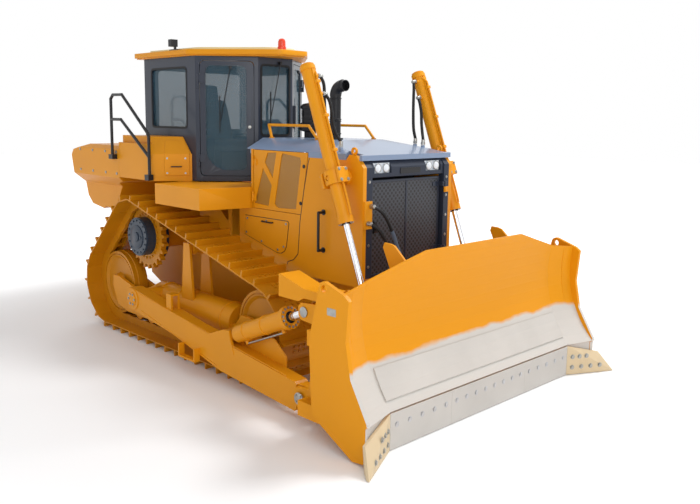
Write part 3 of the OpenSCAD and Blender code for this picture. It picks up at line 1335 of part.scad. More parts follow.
// A smooth line through the route's points, with four steps between neighbours
function smooth(p) = [
  for (i = [0:len(p) - 2], k = [0:3])
    blend3(p[max(i - 1, 0)], p[i], p[i + 1], p[min(i + 2, len(p) - 1)], k / 4),
  p[len(p) - 1]
];
module hose(route, r) {
  p = smooth(route);
  n = len(p);
  rings = [for (i = [0:n - 1]) each hose_ring(p[i], hose_dir(p, i), r)];
  sides = [for (i = [0:n - 2], k = [0:hose_sides - 1]) let (
      a = i * hose_sides + k, b = i * hose_sides + (k + 1) % hose_sides
    ) each [[a, a + hose_sides, b], [b, a + hose_sides, b + hose_sides]]];
  ends = [
    [for (k = [0:hose_sides - 1]) k],
    [for (k = [hose_sides - 1:-1:0]) (n - 1) * hose_sides + k]
  ];
  polyhedron(points = rings, faces = concat(sides, ends));
}
hose_r = 17;
lift_hose_routes = [
  [[1330, 764, 3240], [1334, 728, 3230], [1358, 702, 3150], [1362, 696, 3000], [1370, 690, 2850],
   [1392, 676, 2700], [1440, 654, 2590], [1440, 652, 2535]],
  [[1403, 764, 3060], [1410, 728, 3050], [1450, 708, 2985], [1478, 702, 2880], [1492, 696, 2760],
   [1520, 680, 2660], [1560, 650, 2580], [1560, 648, 2525]]
];
blade_hose_routes = [
  [[1962, -610, 1950], [2000, -608, 1946], [2070, -540, 1880], [2100, -440, 1700], [2140, -370, 1480],
   [2230, -320, 1270], [2320, -302, 1120], [2330, -300, 1050]],
  [[1962, -650, 1780], [2000, -648, 1776], [2060, -590, 1720], [2100, -500, 1560], [2160, -420, 1350],
   [2250, -370, 1190], [2322, -352, 1100], [2330, -350, 1050]]
];
module lift_hoses_left() { color("black") for (p = lift_hose_routes) hose(p, hose_r); }
module lift_hoses_right() { mirror([0, 1, 0]) lift_hoses_left(); }
module blade_hoses() { color("black") for (p = blade_hose_routes) hose(p, hose_r); }

main_frame();
radiator_guard();
grille_door();
headlamps();
hood();
engine();
radiator();
engine_door_right();
engine_door_left();
lower_panels();
exhaust_stack();
air_cleaner();
grab_rails();
guard_handles();
cab_frame();
cab_roof();
cab_door_right();
cab_door_left();
door_glass_right();
door_glass_left();
cab_glass();
seat();
console();
beacon();
work_lamps();
platforms();
side_boxes();
side_lid_right();
side_lid_left();
fuel_tank();
handrails();
track_frames();
track_right();
track_left();
sprockets();
final_drives();
idlers();
track_rollers();
arm_trunnions();
push_arm_right();
push_arm_left();
blade();
cutting_edge();
brace_left();
tilt_barrel();
tilt_rod();
lift_yoke_right();
lift_yoke_left();
lift_barrel_right();
lift_barrel_left();
lift_piston_right();
lift_piston_left();
lift_rod_right();
lift_rod_left();
lift_hoses_right();
lift_hoses_left();
blade_hoses();
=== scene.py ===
"""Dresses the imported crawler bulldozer: paint, glass, bolts, hoses, lamps and the studio stage."""

import math

import bpy
from bpy.props import FloatProperty, FloatVectorProperty, PointerProperty
from mathutils import Matrix, Vector


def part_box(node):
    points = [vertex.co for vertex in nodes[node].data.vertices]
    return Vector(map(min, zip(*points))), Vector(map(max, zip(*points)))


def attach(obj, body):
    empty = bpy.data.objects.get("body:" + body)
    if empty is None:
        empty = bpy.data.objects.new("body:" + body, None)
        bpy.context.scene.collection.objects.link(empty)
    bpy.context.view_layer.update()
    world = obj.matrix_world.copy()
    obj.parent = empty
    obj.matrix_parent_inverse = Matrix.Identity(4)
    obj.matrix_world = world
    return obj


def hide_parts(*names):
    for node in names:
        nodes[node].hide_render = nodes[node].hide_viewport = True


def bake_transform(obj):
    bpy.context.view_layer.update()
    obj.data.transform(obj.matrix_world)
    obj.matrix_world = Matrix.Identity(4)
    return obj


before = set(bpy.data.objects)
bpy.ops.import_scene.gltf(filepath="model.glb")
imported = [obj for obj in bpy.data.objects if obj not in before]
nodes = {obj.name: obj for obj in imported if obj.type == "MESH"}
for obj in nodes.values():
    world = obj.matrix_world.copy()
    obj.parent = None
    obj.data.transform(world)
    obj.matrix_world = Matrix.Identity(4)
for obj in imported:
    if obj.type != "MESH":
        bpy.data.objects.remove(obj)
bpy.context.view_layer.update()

bl_info = {
    "name": "Bulldozer dressing",
    "version": (1, 0, 0),
    "blender": (4, 5, 0),
    "location": "View3D > Sidebar > Bulldozer",
    "description": "Paint, fittings and stage for a crawler bulldozer",
    "category": "Object",
}

# Lengths are in metres and angles in degrees
SAME_PLACE = 0.00005
CREASE_ANGLE = 35
SOLID_CREASE = 30
ROUND_ANGLE = 60
CORNER_STEPS = 5
SHARPEST_MITRE = 0.5
WASHER_REACH = 1.35
WASHER_HEIGHT = 0.3

RIGHTWARD = (0, -1, 0)
FORWARD = (1, 0, 0)
UPWARD = (0, 0, 1)

CHASSIS = ("chassis", "chassis")
TRUNNIONS = ("trunnions", "trunnions")
BLADE = ("blade", "blade")
ARMS = ("arm_right", "arm_left")
YOKES = ("yoke_right", "yoke_left")
LIFT_BARRELS = ("lift_barrel_right", "lift_barrel_left")
ENGINE_DOORS = ("engine_door_right", "engine_door_left")
CAB_DOORS = ("door_right", "door_left")
LIDS = ("lid_right", "lid_left")


def no_selection():
    """Clears the selection, so that an operator acts on the new piece alone."""
    if bpy.context.object and bpy.context.object.mode != "OBJECT":
        bpy.ops.object.mode_set(mode="OBJECT")
    bpy.ops.object.select_all(action="DESELECT")


def alone(piece):
    """Selects one piece and nothing else."""
    no_selection()
    piece.select_set(True)
    bpy.context.view_layer.objects.active = piece


def settle(piece):
    """Puts a piece's place into its mesh."""
    alone(piece)
    bpy.ops.object.transform_apply(location=True, rotation=True, scale=True)
    return piece


def soften(piece, width):
    """Rounds a piece's sharp edges."""
    bevel = piece.modifiers.new("edge", "BEVEL")
    bevel.width = width
    bevel.segments = 2
    bevel.limit_method = "ANGLE"
    bevel.angle_limit = math.radians(CREASE_ANGLE)
    alone(piece)
    bpy.ops.object.modifier_apply(modifier="edge")
    return piece


def smooth_by_angle(piece, degrees=CREASE_ANGLE):
    """Shades round faces smooth and keeps the edges crisp."""
    alone(piece)
    bpy.ops.object.shade_smooth_by_angle(angle=math.radians(degrees))
    return piece


def block(name, low, high, soft=0.0):
    """A box between two corners."""
    low, high = Vector(low), Vector(high)
    no_selection()
    bpy.ops.mesh.primitive_cube_add(size=1, location=(low + high) / 2)
    piece = bpy.context.object
    piece.name = name
    piece.scale = high - low
    settle(piece)
    if soft:
        soften(piece, soft)
    return piece


def aim(direction):
    """The turn that points local Z along a direction."""
    return Vector(direction).normalized().to_track_quat("Z", "Y").to_matrix().to_4x4()


def rod(name, start, end, radius, sides=24, soft=0.0):
    """A straight round bar between two points."""
    start, end = Vector(start), Vector(end)
    no_selection()
    bpy.ops.mesh.primitive_cylinder_add(vertices=sides, radius=radius, depth=(end - start).length)
    piece = bpy.context.object
    piece.name = name
    piece.matrix_world = Matrix.Translation((start + end) / 2) @ aim(end - start)
    settle(piece)
    if soft:
        soften(piece, soft)
    return smooth_by_angle(piece)


def ring(name, centre, axis, radius, thick):
    """A round ring about an axis."""
    no_selection()
    bpy.ops.mesh.primitive_torus_add(
        major_radius=radius, minor_radius=thick, major_segments=40, minor_segments=10
    )
    piece = bpy.context.object
    piece.name = name
    piece.matrix_world = Matrix.Translation(centre) @ aim(axis)
    settle(piece)
    return smooth_by_angle(piece, ROUND_ANGLE)


def mesh_of(name, curve, points, closed):
    """The mesh of a curve whose one line runs straight from point to point."""
    line = curve.splines.new("POLY")
    line.points.add(len(points) - 1)
    for spot, point in zip(line.points, points):
        spot.co = (*point, 1)
    line.use_cyclic_u = closed
    piece = bpy.data.objects.new(name, curve)
    bpy.context.collection.objects.link(piece)
    alone(piece)
    bpy.ops.object.convert(target="MESH")
    return bpy.context.object


def tube(name, points, radius):
    """A round bar bent along a list of points."""
    curve = bpy.data.curves.new(name, "CURVE")
    curve.dimensions = "3D"
    curve.bevel_depth = radius
    curve.bevel_resolution = 4
    curve.use_fill_caps = True
    return smooth_by_angle(mesh_of(name, curve, points, closed=False), ROUND_ANGLE)


def round_corners(points, radius):
    """A bent line with each inner corner rounded off."""
    points = [Vector(p) for p in points]
    line = [points[0]]
    for before, corner, after in zip(points, points[1:], points[2:]):
        back = (before - corner).normalized()
        ahead = (after - corner).normalized()
        reach = min(radius, (before - corner).length / 2, (after - corner).length / 2)
        start, end = corner + back * reach, corner + ahead * reach
        for i in range(CORNER_STEPS + 1):
            t = i / CORNER_STEPS
            line.append(start.lerp(corner, t).lerp(corner.lerp(end, t), t))
    line.append(points[-1])
    return line


def rectangle(x0, y0, x1, y1):
    """An outline from two corners."""
    return [(x0, y0), (x1, y0), (x1, y1), (x0, y1)]


def rounded(outline, radius):
    """A closed outline with its corners rounded off."""
    points = [Vector((*p, 0)) for p in outline]
    line = round_corners([points[-1], *points, points[0]], radius)
    return [(p.x, p.y) for p in line[1:-1]]


def stood(piece, place):
    """Merges doubled corners, turns every face outward and puts the piece in its place."""
    alone(piece)
    bpy.ops.object.mode_set(mode="EDIT")
    bpy.ops.mesh.select_all(action="SELECT")
    bpy.ops.mesh.remove_doubles(threshold=SAME_PLACE)
    bpy.ops.mesh.normals_make_consistent(inside=False)
    bpy.ops.object.mode_set(mode="OBJECT")
    piece.matrix_world = place
    return settle(piece)


def plate(name, outline, place, thick):
    """A flat plate cut to an outline, stood in place by a matrix."""
    curve = bpy.data.curves.new(name, "CURVE")
    curve.dimensions = "2D"
    curve.fill_mode = "BOTH"
    curve.extrude = thick / 2
    return stood(mesh_of(name, curve, [(x, y, 0) for x, y in outline], closed=True), place)


def ribbon(name, points, width, place, thick, closed=False):
    """A flat strip of one width along a bent line."""
    points = [Vector(p) for p in points]
    count = len(points)
    last = count - 1
    edges = [[], []]
    for i, point in enumerate(points):
        behind = points[i - 1] if i or closed else point
        ahead = points[(i + 1) % count] if i < last or closed else point
        along = ((point - behind).normalized() + (ahead - point).normalized()).normalized()
        across = Vector((-along.y, along.x)) * width / 2
        arriving = (point - behind).normalized() if point != behind else along
        across /= max(SHARPEST_MITRE, abs(Vector((-arriving.y, arriving.x)).dot(across.normalized())))
        edges[0].append(point + across)
        edges[1].append(point - across)
    corners = [(*p, z) for z in (-thick / 2, thick / 2) for edge in edges for p in edge]
    faces = []
    for i in range(count if closed else last):
        j = (i + 1) % count
        for a, b in ((0, 1), (1, 3), (3, 2), (2, 0)):
            faces.append((a * count + i, a * count + j, b * count + j, b * count + i))
    if not closed:
        faces += [(0, count, 3 * count, 2 * count), tuple(k * count + last for k in (0, 2, 3, 1))]
    mesh = bpy.data.meshes.new(name)
    mesh.from_pydata(corners, [], faces)
    piece = bpy.data.objects.new(name, mesh)
    bpy.context.collection.objects.link(piece)
    return stood(piece, place)


def facing_right(y):
    """Stands a plate's own X and Y along the machine and up, facing the right side at y."""
    return Matrix.Translation((0, y, 0)) @ Matrix.Rotation(math.radians(90), 4, "X")


def facing_front(x):
    """Stands a plate's own X and Y across the machine and up, facing forward at x."""
    turn = Matrix.Rotation(math.radians(90), 4, "Z") @ Matrix.Rotation(math.radians(90), 4, "X")
    return Matrix.Translation((x, 0, 0)) @ turn


def upright(corner, along, out):
    """Stands a plate's own X along a slanted wall and its Y up, a little outside the wall."""
    face = along.cross(Vector(UPWARD))
    turn = Matrix((along, Vector(UPWARD), face)).transposed().to_4x4()
    return Matrix.Translation(Vector(corner) + face * out) @ turn


def frame_along(start, end):
    """Place whose local Z runs from start to end and whose local Y stays the machine's Y."""
    along = (end - start).normalized()
    side = Vector((0, 1, 0))
    front = side.cross(along)
    turn = Matrix((front, side, along)).transposed().to_4x4()
    return Matrix.Translation(start) @ turn


def placed(piece, place):
    """Moves a finished piece's mesh from its own frame to its place."""
    piece.data.transform(place)
    return piece


def turns(count, start=0.0):
    """Evenly spaced angles round a circle."""
    return [start + 2 * math.pi * k / count for k in range(count)]


def circle_spots(centre, radius, count, start=0.0):
    """Evenly spaced spots round an axis that runs across the machine."""
    x, y, z = centre
    return [(x + radius * math.cos(a), y, z + radius * math.sin(a)) for a in turns(count, start)]


def joined(name, pieces):
    """Several pieces made one."""
    no_selection()
    for piece in pieces:
        piece.select_set(True)
    bpy.context.view_layer.objects.active = pieces[0]
    if len(pieces) > 1:
        bpy.ops.object.join()
    piece = bpy.context.object
    piece.name = name
    return piece


def copies(name, piece, places):
    """Copies of one piece, each with its own mesh, at the given matrices, joined."""
    made = []
    for place in places:
        twin = piece.copy()
        twin.data = piece.data.copy()
        twin.data.transform(place)
        bpy.context.collection.objects.link(twin)
        made.append(twin)
    bpy.data.objects.remove(piece)
    return joined(name, made)


def mirrored(piece, name):
    """The left-hand twin of a right-hand piece."""
    twin = piece.copy()
    twin.data = piece.data.copy()
    twin.name = name
    bpy.context.collection.objects.link(twin)
    twin.data.transform(Matrix.Scale(-1, 4, (0, 1, 0)))
    twin.data.flip_normals()
    return twin


def bolts(name, spots, axis, radius, height):
    """Hexagon bolt heads with a washer, at the given spots on a face."""
    no_selection()
    bpy.ops.mesh.primitive_cylinder_add(vertices=6, radius=radius, depth=height, location=(0, 0, height / 2))
    head = settle(bpy.context.object)
    no_selection()
    wide, flat = radius * WASHER_REACH, height * WASHER_HEIGHT
    bpy.ops.mesh.primitive_cylinder_add(vertices=14, radius=wide, depth=flat)
    washer = settle(bpy.context.object)
    turn = aim(axis)
    return copies(name, joined(name, [head, washer]), [Matrix.Translation(spot) @ turn for spot in spots])


def finished(piece, finish):
    """Gives a piece its material."""
    piece.data.materials.clear()
    piece.data.materials.append(MATERIALS[finish])
    return piece


def on(piece, body, finish):
    """A finished piece on the body that carries it."""
    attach(finished(piece, finish), body)
    return piece


def both_sides(piece, bodies, finish):
    """A right-hand piece and its left-hand twin, each on its own body."""
    twin = mirrored(piece, piece.name + "_left")
    piece.name += "_right"
    on(piece, bodies[0], finish)
    on(twin, bodies[1], finish)


COAT_ROUGH = 0.12
ENAMEL_SPECULAR = 0.22
ENAMEL_CLOUDS = 1.7
ENAMEL_GRAIN = 260
GRAIN_STRENGTH, GRAIN_DEPTH = 0.02, 0.002
METAL_STREAKS = 30.0
METAL_SHADE = 0.82
GLASS_CLOUDS = 0.8
GLASS_SHADE = 0.7
BLADE_SPECULAR = 0.15
BLADE_CLOUDS, BLADE_WOBBLE = 2.2, 0.16
WORN_LOW, WORN_HIGH = 0.80, 0.84
FACES_REAR, FACES_FRONT = 0.35, 0.5
# Sockets of the Mix node in its colour mode
MIX_A, MIX_B, MIX_RESULT = 6, 7, 2


def base_material(name, rough, metal=0.0, coat=0.0):
    """A new material, its node tree and its main shader."""
    material = bpy.data.materials.new(name)
    material.use_nodes = True
    tree = material.node_tree
    shader = tree.nodes["Principled BSDF"]
    shader.inputs["Roughness"].default_value = rough
    shader.inputs["Metallic"].default_value = metal
    shader.inputs["Coat Weight"].default_value = coat
    shader.inputs["Coat Roughness"].default_value = COAT_ROUGH
    return material, tree, shader


def place_noise(tree, scale, detail=4.0):
    """A noise that sits on the piece's own place."""
    coords = tree.nodes.new("ShaderNodeTexCoord")
    noise = tree.nodes.new("ShaderNodeTexNoise")
    noise.inputs["Scale"].default_value = scale
    noise.inputs["Detail"].default_value = detail
    tree.links.new(coords.outputs["Object"], noise.inputs["Vector"])
    return noise.outputs["Fac"]


def place_axes(tree):
    """The X, Y and Z of the piece's own place."""
    coords = tree.nodes.new("ShaderNodeTexCoord")
    split = tree.nodes.new("ShaderNodeSeparateXYZ")
    tree.links.new(coords.outputs["Object"], split.inputs["Vector"])
    return split.outputs


def two_tone(tree, shader, factor, first, second, low=0.3, high=0.7):
    """Blends two colours where a factor runs from low to high."""
    ramp = tree.nodes.new("ShaderNodeValToRGB")
    for element, place, colour in zip(ramp.color_ramp.elements, (low, high), (first, second)):
        element.position = place
        element.color = (*colour, 1)
    tree.links.new(factor, ramp.inputs["Fac"])
    tree.links.new(ramp.outputs["Color"], shader.inputs["Base Color"])


def math_node(tree, operation, *values):
    """One step of arithmetic on numbers or other nodes' outputs."""
    node = tree.nodes.new("ShaderNodeMath")
    node.operation = operation
    for socket, value in zip(node.inputs, values):
        if isinstance(value, (int, float)):
            socket.default_value = value
        else:
            tree.links.new(value, socket)
    return node.outputs[0]


def map_range(tree, value, start, end, low=0.0, high=1.0):
    """A value rescaled so that start becomes low and end becomes high."""
    node = tree.nodes.new("ShaderNodeMapRange")
    for socket, number in (("From Min", start), ("From Max", end), ("To Min", low), ("To Max", high)):
        node.inputs[socket].default_value = number
    tree.links.new(value, node.inputs["Value"])
    return node


def repainted(tree, shader, colour, boxes):
    """A second colour inside the given boxes, by the piece's own place."""
    place = place_axes(tree)
    inside = 0.0
    for low, high in boxes:
        part = 1.0
        for axis, a, b in zip("XYZ", low, high):
            test = math_node(tree, "COMPARE", place[axis], (a + b) / 2, (b - a) / 2)
            part = math_node(tree, "MULTIPLY", test, part)
        inside = math_node(tree, "MAXIMUM", part, inside)
    mix = tree.nodes.new("ShaderNodeMix")
    mix.data_type = "RGBA"
    tree.links.new(inside, mix.inputs["Factor"])
    tree.links.new(shader.inputs["Base Color"].links[0].from_socket, mix.inputs[MIX_A])
    mix.inputs[MIX_B].default_value = (*colour, 1)
    tree.links.new(mix.outputs[MIX_RESULT], shader.inputs["Base Color"])


def sprayed(name, colour, rough=0.42, coat=0.04, spread=0.06, second=None, boxes=()):
    """Sprayed enamel with a faint unevenness, in a second colour inside the given boxes."""
    material, tree, shader = base_material(name, rough, coat=coat)
    shader.inputs["Specular IOR Level"].default_value = ENAMEL_SPECULAR
    two_tone(tree, shader, place_noise(tree, ENAMEL_CLOUDS), [c * (1 - spread) for c in colour], colour)
    if boxes:
        repainted(tree, shader, second, boxes)
    bump = tree.nodes.new("ShaderNodeBump")
    bump.inputs["Strength"].default_value = GRAIN_STRENGTH
    bump.inputs["Distance"].default_value = GRAIN_DEPTH
    tree.links.new(place_noise(tree, ENAMEL_GRAIN, 1.0), bump.inputs["Height"])
    tree.links.new(bump.outputs["Normal"], shader.inputs["Normal"])
    return material


def worked_metal(name, colour, rough):
    """Bare machined or plated steel."""
    material, tree, shader = base_material(name, rough, metal=1.0)
    darker = [c * METAL_SHADE for c in colour]
    two_tone(tree, shader, place_noise(tree, METAL_STREAKS), darker, colour, 0.35, 0.65)
    return material


def clear_glass(name, colour):
    """Thin tinted glass."""
    material, tree, shader = base_material(name, 0.03)
    shader.inputs["IOR"].default_value = 1.45
    shader.inputs["Alpha"].default_value = 0.42
    two_tone(tree, shader, place_noise(tree, GLASS_CLOUDS), [c * GLASS_SHADE for c in colour], colour)
    return material


def hole_pattern(name, sheet, hole_shade, pitch, axes):
    """A perforated sheet: round holes in rows on a flat panel, with painted shade as their dark colour."""
    material, tree, shader = base_material(name, 0.45)
    place = place_axes(tree)
    turned = [math_node(tree, "MULTIPLY", place[axis], 2 * math.pi / pitch) for axis in axes]
    waves = [math_node(tree, "SINE", turn) for turn in turned]
    # The holes take a dark colour that is painted shade, standing in for the dark behind real openings
    two_tone(tree, shader, math_node(tree, "MULTIPLY", *waves), sheet, hole_shade, 0.12, 0.2)
    return material


def worn_blade(name, colour, steel):
    """Blade paint with a pale ground-coat patch along the foot of the hollow face."""
    material, tree, shader = base_material(name, 0.45, coat=0.03)
    shader.inputs["Specular IOR Level"].default_value = BLADE_SPECULAR
    clouds = place_noise(tree, BLADE_CLOUDS, 3.0)
    height = math_node(tree, "MULTIPLY_ADD", clouds, BLADE_WOBBLE, place_axes(tree)["Z"])
    above = map_range(tree, height, WORN_LOW, WORN_HIGH).outputs["Result"]
    geometry = tree.nodes.new("ShaderNodeNewGeometry")
    normal = tree.nodes.new("ShaderNodeSeparateXYZ")
    tree.links.new(geometry.outputs["Normal"], normal.inputs["Vector"])
    behind = map_range(tree, normal.outputs["X"], FACES_REAR, FACES_FRONT, 1.0, 0.0).outputs["Result"]
    two_tone(tree, shader, math_node(tree, "MAXIMUM", above, behind), steel, colour, 0.0, 1.0)
    return material


class BulldozerColours(bpy.types.PropertyGroup):
    """Colours that a user would change."""

    paint: FloatVectorProperty(
        name="Paint", description="Main enamel", subtype="COLOR", size=3, default=(0.74, 0.29, 0.004)
    )
    dark: FloatVectorProperty(
        name="Cab paint", description="Cab, nose and grille", subtype="COLOR", size=3,
        default=(0.024, 0.031, 0.050),
    )
    hood: FloatVectorProperty(
        name="Hood paint", description="Top of the hood", subtype="COLOR", size=3, default=(0.20, 0.27, 0.40)
    )
    wear: FloatVectorProperty(
        name="Bare foot", description="Blade foot and edges", subtype="COLOR", size=3,
        default=(0.58, 0.55, 0.51),
    )
    end_bit: FloatVectorProperty(
        name="End bits", description="Primed end bits", subtype="COLOR", size=3, default=(0.66, 0.52, 0.33)
    )


class BulldozerSizes(bpy.types.PropertyGroup):
    """Sizes that a user would change."""

    edge: FloatProperty(
        name="Edge", description="Roundness of plate edges", default=0.006, min=0, max=0.02, unit="LENGTH"
    )


MATERIALS = {}
# Boxes, as low and high corners, that take a second colour
GUARD_DARK = (((1.86, -0.652, 1.21), (1.945, 0.652, 2.45)), ((1.5, -0.568, 2.2), (1.945, 0.568, 2.45)))
ROOF_TOP = (((-3, -2, 3.604), (1, 2, 3.8)),)
ROOF_PALE = (0.75, 0.62, 0.35)
END_BITS = (((2.9, -2.1, 0), (3.4, -1.463, 0.5)), ((2.9, 1.463, 0), (3.4, 2.1, 0.5)))

# The finish of each solid
FINISH_NODES = {
    "paint": (
        "main_frame", "engine_door_right", "engine_door_left", "lower_panels", "grab_rails", "platforms",
        "side_boxes", "side_lid_right", "side_lid_left", "fuel_tank", "track_frames", "track_rollers",
        "push_arm_right", "push_arm_left", "brace_left", "tilt_barrel", "lift_yoke_right",
        "lift_yoke_left", "lift_barrel_right", "lift_barrel_left",
    ),
    "dark": ("grille_door", "cab_frame", "cab_door_right", "cab_door_left", "console"),
    "black": ("guard_handles", "work_lamps", "handrails"),
    "glass": ("door_glass_right", "door_glass_left", "cab_glass"),
    "track": ("track_right", "track_left", "sprockets", "idlers"),
    "steel": ("arm_trunnions", "lift_piston_right", "lift_piston_left"),
    "chrome": ("tilt_rod", "lift_rod_right", "lift_rod_left"),
    "rubber": ("lift_hoses_right", "lift_hoses_left", "blade_hoses"),
    "stack": ("exhaust_stack", "air_cleaner"),
    "guard": ("radiator_guard",),
    "lamp": ("headlamps",),
    "hood": ("hood",),
    "iron": ("engine",),
    "core": ("radiator",),
    "roof": ("cab_roof",),
    "seat": ("seat",),
    "beacon": ("beacon",),
    "drum": ("final_drives",),
    "blade": ("blade",),
    "edge": ("cutting_edge",),
}
# Solids whose plate edges are softened
SOFT_NODES = (
    "radiator_guard", "hood", "engine_door_right", "engine_door_left", "lower_panels", "platforms",
    "side_boxes", "side_lid_right", "side_lid_left", "fuel_tank", "push_arm_right", "push_arm_left",
    "cab_frame", "cab_door_right", "cab_door_left", "track_frames",
)


class OBJECT_OT_dozer_finishes(bpy.types.Operator):
    """Makes the finishes, puts them on the solids and softens plate edges"""

    bl_idname = "object.dozer_finishes"
    bl_label = "Finishes"

    def execute(self, context):
        colours = context.scene.dozer_colours
        paint = list(colours.paint)
        MATERIALS.update(
            paint=sprayed("Yellow enamel", paint),
            track=sprayed("Track enamel", [c * 0.82 for c in paint], rough=0.42, coat=0.1, spread=0.2),
            dark=sprayed("Cab enamel", list(colours.dark), rough=0.3, coat=0.3),
            hood=sprayed("Hood enamel", list(colours.hood), rough=0.28, coat=0.4),
            drum=sprayed("Drive enamel", (0.03, 0.045, 0.07), rough=0.35, coat=0.2),
            iron=sprayed("Engine iron", (0.04, 0.04, 0.045), rough=0.6, coat=0.0),
            stack=sprayed("Stack enamel", (0.012, 0.012, 0.014), rough=0.45, coat=0.1),
            black=sprayed("Black enamel", (0.014, 0.014, 0.016), rough=0.35, coat=0.2),
            core=sprayed("Radiator core", (0.03, 0.03, 0.03), rough=0.7, coat=0.0),
            seat=sprayed("Seat cover", (0.16, 0.17, 0.18), rough=0.6, coat=0.0, spread=0.3),
            rubber=sprayed("Hose rubber", (0.012, 0.012, 0.013), rough=0.5, coat=0.0),
            chrome=worked_metal("Chrome rod", (0.86, 0.87, 0.9), rough=0.08),
            steel=worked_metal("Machined steel", (0.55, 0.55, 0.56), rough=0.32),
            blade=worn_blade("Blade enamel", paint, list(colours.wear)),
            glass=clear_glass("Tinted glass", (0.05, 0.12, 0.17)),
            lamp=sprayed("Lamp lens", (0.75, 0.8, 0.85), rough=0.1, coat=0.6),
            beacon=sprayed("Beacon dome", (0.75, 0.05, 0.01), rough=0.2, coat=0.5),
            # Engine door sheets, whose dark brown holes are painted shade
            holes=hole_pattern("Perforated sheet", (0.50, 0.24, 0.03), (0.09, 0.035, 0.006), 0.013, "XZ"),
            zinc=worked_metal("Zinc fitting", (0.42, 0.42, 0.40), rough=0.38),
            sleeve=sprayed("Woven sleeve", (0.10, 0.14, 0.20), rough=0.6, coat=0.0, spread=0.3),
            guard=sprayed("Guard enamel", paint, second=list(colours.dark), boxes=GUARD_DARK),
            roof=sprayed("Roof enamel", paint, second=ROOF_PALE, boxes=ROOF_TOP),
            edge=sprayed(
                "Edge steel", list(colours.wear), rough=0.5, coat=0.0, spread=0.1,
                second=list(colours.end_bit), boxes=END_BITS,
            ),
            # Grille mesh, whose near-black holes are painted shade
            mesh=hole_pattern("Dark mesh", (0.040, 0.045, 0.058), (0.001, 0.001, 0.001), 0.060, "YZ"),
        )
        for finish, names in FINISH_NODES.items():
            for name in names:
                surfaces = nodes[name].data.materials
                surfaces.clear()
                surfaces.append(MATERIALS[finish])
        edge = context.scene.dozer_sizes.edge
        for name in SOFT_NODES:
            weld = nodes[name].modifiers.new("weld", "WELD")
            weld.merge_threshold = SAME_PLACE
            bevel = nodes[name].modifiers.new("edge", "BEVEL")
            bevel.width = edge
            bevel.segments = 2
            bevel.limit_method = "ANGLE"
            bevel.angle_limit = math.radians(SOLID_CREASE)
            bevel.harden_normals = True
        return {"FINISHED"}


HOSE_R = 0.017
SLEEVE_R = 0.020
LIFT_HOSES = (
    ((1.440, 0.652, 2.535), (1.440, 0.654, 2.590), (1.392, 0.676, 2.700), (1.370, 0.690, 2.850),
     (1.362, 0.696, 3.000), (1.358, 0.702, 3.150), (1.334, 0.728, 3.230), (1.330, 0.764, 3.240)),
    ((1.560, 0.648, 2.525), (1.560, 0.650, 2.580), (1.520, 0.680, 2.660), (1.492, 0.696, 2.760),
     (1.478, 0.702, 2.880), (1.450, 0.708, 2.985), (1.410, 0.728, 3.050), (1.403, 0.764, 3.060)),
)
BLADE_HOSES = (
    ((1.962, -0.610, 1.950), (2.000, -0.608, 1.946), (2.070, -0.540, 1.880), (2.100, -0.440, 1.700),
     (2.140, -0.370, 1.480), (2.230, -0.320, 1.270), (2.320, -0.302, 1.120), (2.330, -0.300, 1.050)),
    ((1.962, -0.650, 1.780), (2.000, -0.648, 1.776), (2.060, -0.590, 1.720), (2.100, -0.500, 1.560),
     (2.160, -0.420, 1.350), (2.250, -0.370, 1.190), (2.322, -0.352, 1.100), (2.330, -0.350, 1.050)),
)
HOSE_STEPS = 8
# Route points at which a hose is cut in two and at which a sleeve starts
LIFT_SPLIT = 3
BLADE_SPLITS = (5, 4)
SLEEVE_START = 3
# Length and radius of the crimped collars
HOSE_FERRULE = (0.06, 0.0205)
SLEEVE_FERRULE = (0.05, 0.0245)
NUT_START, NUT_END, NUT_REACH = 0.004, 0.028, 1.22


def blend3(a, b, c, d, t):
    """A point between b and c on the smooth curve through a, b, c and d."""
    return 0.5 * (2 * b + (c - a) * t + (2 * a - 5 * b + 4 * c - d) * t**2 + (3 * b - a - 3 * c + d) * t**3)


def hose_line(route, side=1):
    """A smooth line through a hose's route."""
    p = [Vector((x, side * y, z)) for x, y, z in route]
    line = []
    for i in range(len(p) - 1):
        ends = p[max(i - 1, 0)], p[i], p[i + 1], p[min(i + 2, len(p) - 1)]
        line += [blend3(*ends, k / HOSE_STEPS) for k in range(HOSE_STEPS)]
    return line + [p[-1]]


def hose(name, line, radius, finish):
    """A stretch of hose along a line, with its finish."""
    piece = finished(tube(name, line, radius), finish)
    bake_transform(piece)
    return piece


def ferrule(name, line, at, length, radius):
    """A crimped collar with a hexagon nut on the hose's end."""
    point = line[at]
    along = (line[at + 1] - point if at == 0 else line[at - 1] - point).normalized()
    collar = rod(name, point, point + along * length, radius, soft=0.002)
    start, end = point + along * NUT_START, point + along * NUT_END
    nut = rod("nut", start, end, radius * NUT_REACH, sides=6)
    return joined(name, [collar, nut])


